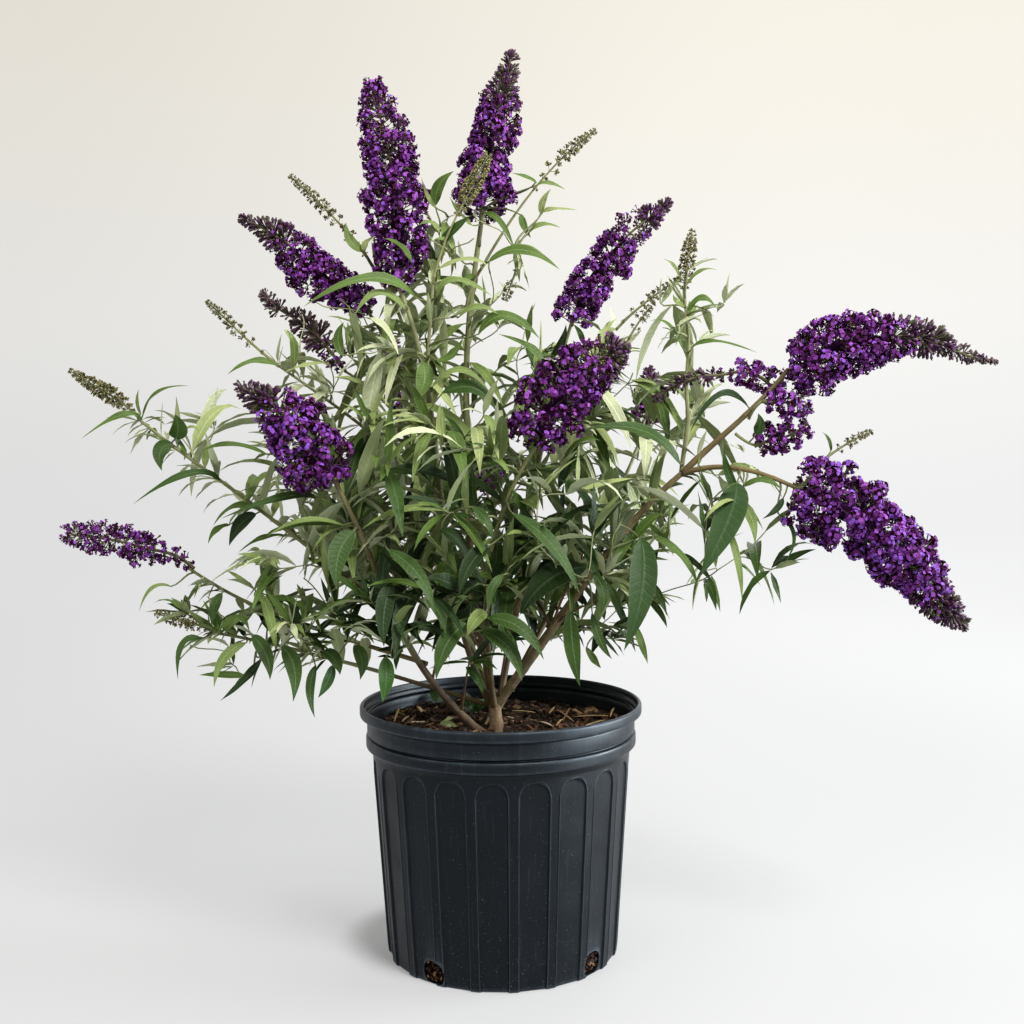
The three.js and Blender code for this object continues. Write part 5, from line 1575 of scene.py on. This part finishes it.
# ---------------------------------------------------------------- materials
LEAF_MATS = [material(n, c, rough=0.5, vary=0.2, scale=30, bump=0.5, bump_scale=420, bump_dist=0.0006,
                      spec=0.28, veins=0.3 if n == "leaf_broad" else 0.6) for n, c in LEAF_TONES]
LEAF_MATS += [material(n, c, rough=0.8, vary=0.12, scale=30, bump=0.5, bump_scale=600, bump_dist=0.0006, sheen=0.05,
                       spec=0.15, veins=0.35) for n, c in UNDER_TONES]
TWIG_MATS = [material("twig_pale", (142, 146, 108), 0.7, 0.18, 40, 0.3, 700),
             material("twig_green", (110, 116, 78), 0.7, 0.18, 40, 0.3, 700),
             material("twig_dry", (112, 88, 66), 0.85, 0.25, 60, 0.5, 600)]
BARK_MATS = [material("bark_tan", (146, 132, 98), 0.85, 0.2, 70, 0.8, 420, 8, 0.0012, other=(88, 76, 50)),
             material("bark_brown", (136, 116, 88), 0.8, 0.2, 60, 0.7, 500, 8, 0.0010, other=(86, 68, 48)),
             material("bark_foot", (160, 140, 114), 0.85, 0.2, 55, 1.0, 380, 8, 0.0016, other=(98, 78, 58)),
             material("bark_upper", (128, 124, 88), 0.8, 0.2, 60, 0.5, 500, 8, 0.0008, other=(98, 88, 60))]
STEM_MATS = [BARK_MATS[0], material("stem_brown", (116, 94, 70), 0.75, 0.2, 60, 0.5, 600, other=(84, 66, 46)),
             material("stem_tan", (126, 112, 76), 0.75, 0.2, 60, 0.4, 600, other=(98, 84, 56)),
             material("stem_green", (142, 144, 104), 0.7, 0.2, 50, 0.35, 700, other=(114, 116, 78))]
FLORET_MATS = [material("floret_violet", (146, 84, 170), 0.75, 0.14, 300, 0.3, 1500, spec=0.12),
               material("floret_purple", (112, 54, 128), 0.75, 0.14, 300, 0.3, 1500, spec=0.12),
               material("floret_plum", (80, 32, 84), 0.75, 0.14, 300, 0.3, 1500, spec=0.12),
               material("floret_tube", (72, 26, 58), 0.75, 0.15, 300, 0.3, 1500, spec=0.12),
               material("floret_blue", (136, 88, 184), 0.75, 0.14, 300, 0.3, 1500, spec=0.12)]
STALK_MATS = [material("flower_stalk", (108, 104, 76), 0.75, 0.18, 60, 0.3, 900),
              material("floret_bud", (66, 36, 62), 0.7, 0.18, 300, 0.3, 1500),
              material("floret_bud_pale", (122, 100, 106), 0.7, 0.15, 300, 0.3, 1500),
              material("floret_spent", (82, 62, 46), 0.85, 0.2, 300, 0.3, 1500),
              material("calyx", (80, 78, 56), 0.75, 0.15, 200, 0.3, 1200),
              # dark purple for the heads' cores: painted shade deep inside the heads
              material("head_core_shade", (62, 24, 66), 0.95, 0.4, 260, 0.8, 900, other=(40, 16, 40), spec=0.1)]
BUD_MATS = [material("bud_stalk", (126, 128, 88), 0.75, 0.15, 60, 0.3, 900),
            material("bud_olive", (110, 108, 68), 0.75, 0.18, 250, 0.4, 1500),
            material("bud_pale", (146, 142, 94), 0.75, 0.15, 250, 0.4, 1500),
            material("bud_dark", (74, 62, 42), 0.8, 0.18, 250, 0.4, 1500)]
SOIL_MATS = [material("mix_dark", (38, 28, 22), 0.95, 0.4, 200, 0.8, 900, other=(68, 50, 38)),
             material("mix_brown", (76, 56, 44), 0.92, 0.3, 150, 0.6, 700, other=(48, 35, 28)),
             material("mix_rust", (122, 88, 66), 0.9, 0.3, 150, 0.6, 700, other=(80, 56, 42)),
             material("mix_wood", (164, 134, 98), 0.85, 0.2, 120, 0.6, 500, other=(132, 104, 76)),
             material("mix_straw", (190, 166, 126), 0.8, 0.15, 120, 0.5, 500, other=(166, 140, 102)),
             material("mix_pale", (214, 200, 170), 0.8, 0.12, 120, 0.5, 500),
             # near-black painted shade for the mix seen in the holes, with brown specks
             material("mix_hole_shade", (14, 10, 8), 1.0, 0.3, 260, 1.0, 500, 6, 0.002, other=(62, 44, 32), spec=0.05)]


def pot_material():
    """Black moulded plastic: a soft gloss, faint upright drag marks, dust, and pale nicks."""
    m = bpy.data.materials.new("pot_plastic")
    m.use_nodes = True
    nt = m.node_tree
    s = nt.nodes["Principled BSDF"]
    s.inputs["Specular IOR Level"].default_value = 0.35
    s.inputs["Specular Tint"].default_value = (0.84, 0.93, 1.0, 1)
    co = nt.nodes.new("ShaderNodeTexCoord")

    def noise(scale, detail, stretch=(1, 1, 1), rough=0.5):
        mp = nt.nodes.new("ShaderNodeMapping")
        mp.inputs["Scale"].default_value = stretch
        n = nt.nodes.new("ShaderNodeTexNoise")
        n.inputs["Scale"].default_value = scale
        n.inputs["Detail"].default_value = detail
        n.inputs["Roughness"].default_value = rough
        nt.links.new(co.outputs["Object"], mp.inputs["Vector"])
        nt.links.new(mp.outputs["Vector"], n.inputs["Vector"])
        return n.outputs["Fac"]

    def ramp(src, stops):
        r = nt.nodes.new("ShaderNodeValToRGB")
        e = r.color_ramp.elements
        e[0].position, e[0].color = stops[0][0], (*[stops[0][1]] * 3, 1)
        e[1].position, e[1].color = stops[-1][0], (*[stops[-1][1]] * 3, 1)
        for pos, val in stops[1:-1]:
            q = e.new(pos)
            q.color = (*[val] * 3, 1)
        nt.links.new(src, r.inputs["Fac"])
        return r.outputs["Color"]

    def mix(fac, a, b):
        x = nt.nodes.new("ShaderNodeMix")
        x.data_type = "RGBA"
        nt.links.new(fac, x.inputs["Factor"])
        for sock, val in ((x.inputs["A"], a), (x.inputs["B"], b)):
            if isinstance(val, tuple):
                sock.default_value = (*val, 1)
            else:
                nt.links.new(val, sock)
        return x.outputs["Result"]

    base = mix(ramp(noise(9, 4), ((0.35, 0.0), (0.7, 1.0))), lin(5, 9, 14), lin(9, 15, 22))
    drag = ramp(noise(330, 3, (1, 1, 0.02)), ((0.58, 0.0), (0.80, 0.3)))
    base = mix(drag, base, lin(58, 64, 70))
    sep = nt.nodes.new("ShaderNodeSeparateXYZ")
    nt.links.new(co.outputs["Object"], sep.inputs[0])
    foot = nt.nodes.new("ShaderNodeMapRange")
    for label, val in (("From Min", 0.0), ("From Max", 0.1), ("To Min", 0.035), ("To Max", 0.0)):
        foot.inputs[label].default_value = val
    nt.links.new(sep.outputs["Z"], foot.inputs["Value"])
    dust = nt.nodes.new("ShaderNodeMath")
    dust.operation = "ADD"
    nt.links.new(noise(900, 2), dust.inputs[0])
    nt.links.new(foot.outputs["Result"], dust.inputs[1])
    specks = ramp(dust.outputs[0], ((0.715, 0.0), (0.745, 0.9)))
    base = mix(specks, base, lin(120, 122, 120))
    nicks = ramp(noise(230, 6, (1, 1, 0.6), 0.7), ((0.725, 0.0), (0.76, 0.7)))
    base = mix(nicks, base, lin(96, 100, 102))
    # pale along its edges: the welts round the flutes, the bands and the lip; partly wear, partly a painted highlight
    # where the rounded edges would catch the light
    geo = nt.nodes.new("ShaderNodeNewGeometry")
    edge_pointiness = ramp(geo.outputs["Pointiness"], ((0.506, 0.0), (0.55, 0.75)))
    patchy = ramp(noise(60, 4, (1, 1, 0.4)), ((0.3, 0.45), (0.65, 1.0)))
    edge_highlight_and_wear = nt.nodes.new("ShaderNodeMath")
    edge_highlight_and_wear.operation = "MULTIPLY"
    nt.links.new(edge_pointiness, edge_highlight_and_wear.inputs[0])
    nt.links.new(patchy, edge_highlight_and_wear.inputs[1])
    base = mix(edge_highlight_and_wear.outputs[0], base, lin(82, 92, 102))
    nt.links.new(base, s.inputs["Base Color"])
    nt.links.new(ramp(noise(30, 5), ((0.3, 0.34), (0.7, 0.48))), s.inputs["Roughness"])
    b = nt.nodes.new("ShaderNodeBump")
    b.inputs["Strength"].default_value = 0.22
    b.inputs["Distance"].default_value = 0.0003
    nt.links.new(noise(1400, 3), b.inputs["Height"])
    nt.links.new(b.outputs["Normal"], s.inputs["Normal"])
    return m


# ---------------------------------------------------------------- pieces
pot = pot_piece().build("nursery_pot", [pot_material()], [], "pot_plastic")
cutters = hole_cutters().build("cutters", [pot.data.materials[0]], [], "pot_plastic", smooth=False)
mod = pot.modifiers.new("holes", "BOOLEAN")
mod.operation, mod.solver, mod.object = "DIFFERENCE", "EXACT", cutters
deps = bpy.context.evaluated_depsgraph_get()
cut = bpy.data.meshes.new_from_object(pot.evaluated_get(deps))
pot.modifiers.clear()
pot.data = cut
bpy.data.objects.remove(cutters, do_unlink=True)
cut.polygons.foreach_set("use_smooth", np.ones(len(cut.polygons), bool))
cut.set_sharp_from_angle(angle=math.radians(38))
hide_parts("pot")
COUNT["nursery_pot"] = sum(len(p.vertices) - 2 for p in cut.polygons)

soil.build("growing_mix", SOIL_MATS, ["soil"], "growing_mix", smooth=False)
nodes = set(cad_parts)
stem_nodes = [n for n in LIMBS if n in nodes and n not in ("trunk", "bough_right", "stem_left")]
bark.build("woody_stems", BARK_MATS, ["trunk", "bough_right", "stem_left"], "bark")
stems.build("young_stems", STEM_MATS, stem_nodes, "stem")
leaf_nodes = [n for n in LEAF_MASSES if n in nodes]
big_leaves.build("leaves_long", LEAF_MATS, leaf_nodes, "leaves", uv=True)
small_leaves.build("leaves_small", LEAF_MATS, [], "leaves", uv=True)
twigs.build("twigs", TWIG_MATS, [], "stem")
for side in florets:
    florets[side].build("florets_" + side, FLORET_MATS, HEAD_NODES[side], "blossom", smooth=True)
stalks.build("flower_stalks", STALK_MATS, [], "blossom")
buds.build("bud_clusters", BUD_MATS, [n for n in BUD_SHOOTS if n in nodes], "buds")
print("triangles", COUNT, sum(COUNT.values()))

# ---------------------------------------------------------------- floor, light, camera
def paper():
    """White seamless paper with some light of its own: dimmer to the left and at the front, cooler on the floor."""
    m = bpy.data.materials.new("floor_paper")
    m.use_nodes = True
    nt = m.node_tree
    s = nt.nodes["Principled BSDF"]
    s.inputs["Roughness"].default_value = 0.9
    s.inputs["Specular IOR Level"].default_value = 0.0
    co = nt.nodes.new("ShaderNodeTexCoord")
    sep = nt.nodes.new("ShaderNodeSeparateXYZ")
    nt.links.new(co.outputs["Object"], sep.inputs[0])

    def span(axis, a, b, lo, hi):
        k = nt.nodes.new("ShaderNodeMapRange")
        k.interpolation_type = "SMOOTHSTEP"
        for label, val in (("From Min", a), ("From Max", b), ("To Min", lo), ("To Max", hi)):
            k.inputs[label].default_value = val
        nt.links.new(sep.outputs[axis], k.inputs["Value"])
        return k.outputs["Result"]

    def times(a, b):
        k = nt.nodes.new("ShaderNodeMath")
        k.operation = "MULTIPLY"
        nt.links.new(a, k.inputs[0])
        nt.links.new(b, k.inputs[1])
        return k.outputs[0]

    r = nt.nodes.new("ShaderNodeValToRGB")
    r.color_ramp.elements[0].color = (*PAPER_LOW, 1)
    r.color_ramp.elements[1].color = (*PAPER_HIGH, 1)
    nt.links.new(span("Z", 0.0, 2.6, 0.0, 1.0), r.inputs["Fac"])
    nt.links.new(r.outputs["Color"], s.inputs["Emission Color"])
    glow = times(span("Z", 0.0, 1.1, *PAPER_GLOW), span("X", -2.2, 1.6, PAPER_LEFT, 1.0))
    glow = times(glow, span("Y", -3.4, -0.9, PAPER_FRONT, 1.0))
    glow = times(glow, span("Y", 0.3, 2.8, 1.0, 1.36))
    # a painted contact shadow: the glow is dimmed in a ring round a point by the pot's foot, on the side off the lights
    shift = nt.nodes.new("ShaderNodeVectorMath")
    shift.operation = "DISTANCE"
    shift.inputs[1].default_value = (-0.045, 0.03, 0.0)
    nt.links.new(co.outputs["Object"], shift.inputs[0])
    shade = nt.nodes.new("ShaderNodeMapRange")
    shade.interpolation_type = "SMOOTHSTEP"
    for label, val in (("From Min", 0.088), ("From Max", 0.13), ("To Min", 0.5), ("To Max", 1.0)):
        shade.inputs[label].default_value = val
    nt.links.new(shift.outputs["Value"], shade.inputs["Value"])
    glow = times(glow, shade.outputs["Result"])
    # the window already lights the floor on its side
    side = nt.nodes.new("ShaderNodeMath")
    side.operation = "MULTIPLY_ADD"
    nt.links.new(times(span("X", 0.15, 0.9, 0.0, 1.0), span("Y", 0.2, 1.6, 1.0, 0.0)), side.inputs[0])
    side.inputs[1].default_value = PAPER_SIDE - 1.0
    side.inputs[2].default_value = 1.0
    glow = times(glow, side.outputs[0])
    nt.links.new(glow, s.inputs["Emission Strength"])
    s.inputs["Base Color"].default_value = (*PAPER_BASE, 1)
    m.cycles.emission_sampling = "NONE"
    return m


PAPER_BASE = (0.25, 0.252, 0.255)
PAPER_LOW, PAPER_HIGH = lin(247, 248, 249), lin(250, 244, 230)
PAPER_GLOW = (0.43, 0.485)
PAPER_LEFT, PAPER_FRONT, PAPER_SIDE = 0.77, 0.72, 0.86


def bowl():
    """A pale sweep: a flat floor that turns up into a round wall."""
    R, corner, tall = 4.6, 1.9, 5.2
    prof = [(0.0, 0.0)]
    prof += [(r, 0.0) for r in (0.5, 1.0, 1.6, 2.2, R - corner)]
    prof += [(R - corner + corner * math.sin(t), corner - corner * math.cos(t)) for t in np.linspace(0, math.pi / 2, 25)[1:]]
    prof += [(R, z) for z in np.linspace(corner, tall, 6)[1:]]
    n = 128
    a = np.arange(n) * 2 * np.pi / n
    v = [[0, 0, 0]]
    for r, z in prof[1:]:
        v += [[r * math.cos(t), r * math.sin(t), z] for t in a]
    f = [[0, 1 + i, 1 + (i + 1) % n] for i in range(n)]
    for k in range(len(prof) - 2):
        for i in range(n):
            p0, p1 = 1 + k * n + i, 1 + k * n + (i + 1) % n
            f.append([p0, p0 + n, p1 + n, p1])
    me = bpy.data.meshes.new("floor")
    me.from_pydata(v, [], f)
    me.polygons.foreach_set("use_smooth", np.ones(len(f), bool))
    me.materials.append(paper())
    ob = bpy.data.objects.new("floor", me)
    bpy.context.collection.objects.link(ob)


bowl()
make_camera()
area("key", (1.0, -1.6, 2.3), (0, 0, 0.5), 0.9, 61, (1.0, 0.99, 0.965))
area("window", (2.3, 0.15, 0.85), (0, 0, 0.35), 1.6, 48, (0.95, 0.98, 1.0))
area("fill", (-1.9, -1.6, 1.7), (0, 0, 0.6), 1.4, 16, (1.0, 0.98, 0.95))
area("top", (0.0, 0.3, 2.7), (0, 0, 0.4), 1.8, 19, (1.0, 0.995, 0.985))
area("back", (0.8, 2.4, 1.9), (0.0, 0.0, 0.5), 1.6, 13, (1.0, 0.99, 0.97))
area("card", (1.7, -0.4, 0.2), (0, 0, 0.12), 1.6, 78, (0.88, 0.95, 1.0), True)
world = bpy.data.worlds.new("studio")
bpy.context.scene.world = world
world.use_nodes = True
bg = world.node_tree.nodes["Background"]
bg.inputs["Color"].default_value = (*lin(246, 246, 248), 1)
bg.inputs["Strength"].default_value = 0.25
bpy.context.scene.view_settings.view_transform = "Standard"
bpy.context.scene.view_settings.look = "Medium High Contrast"
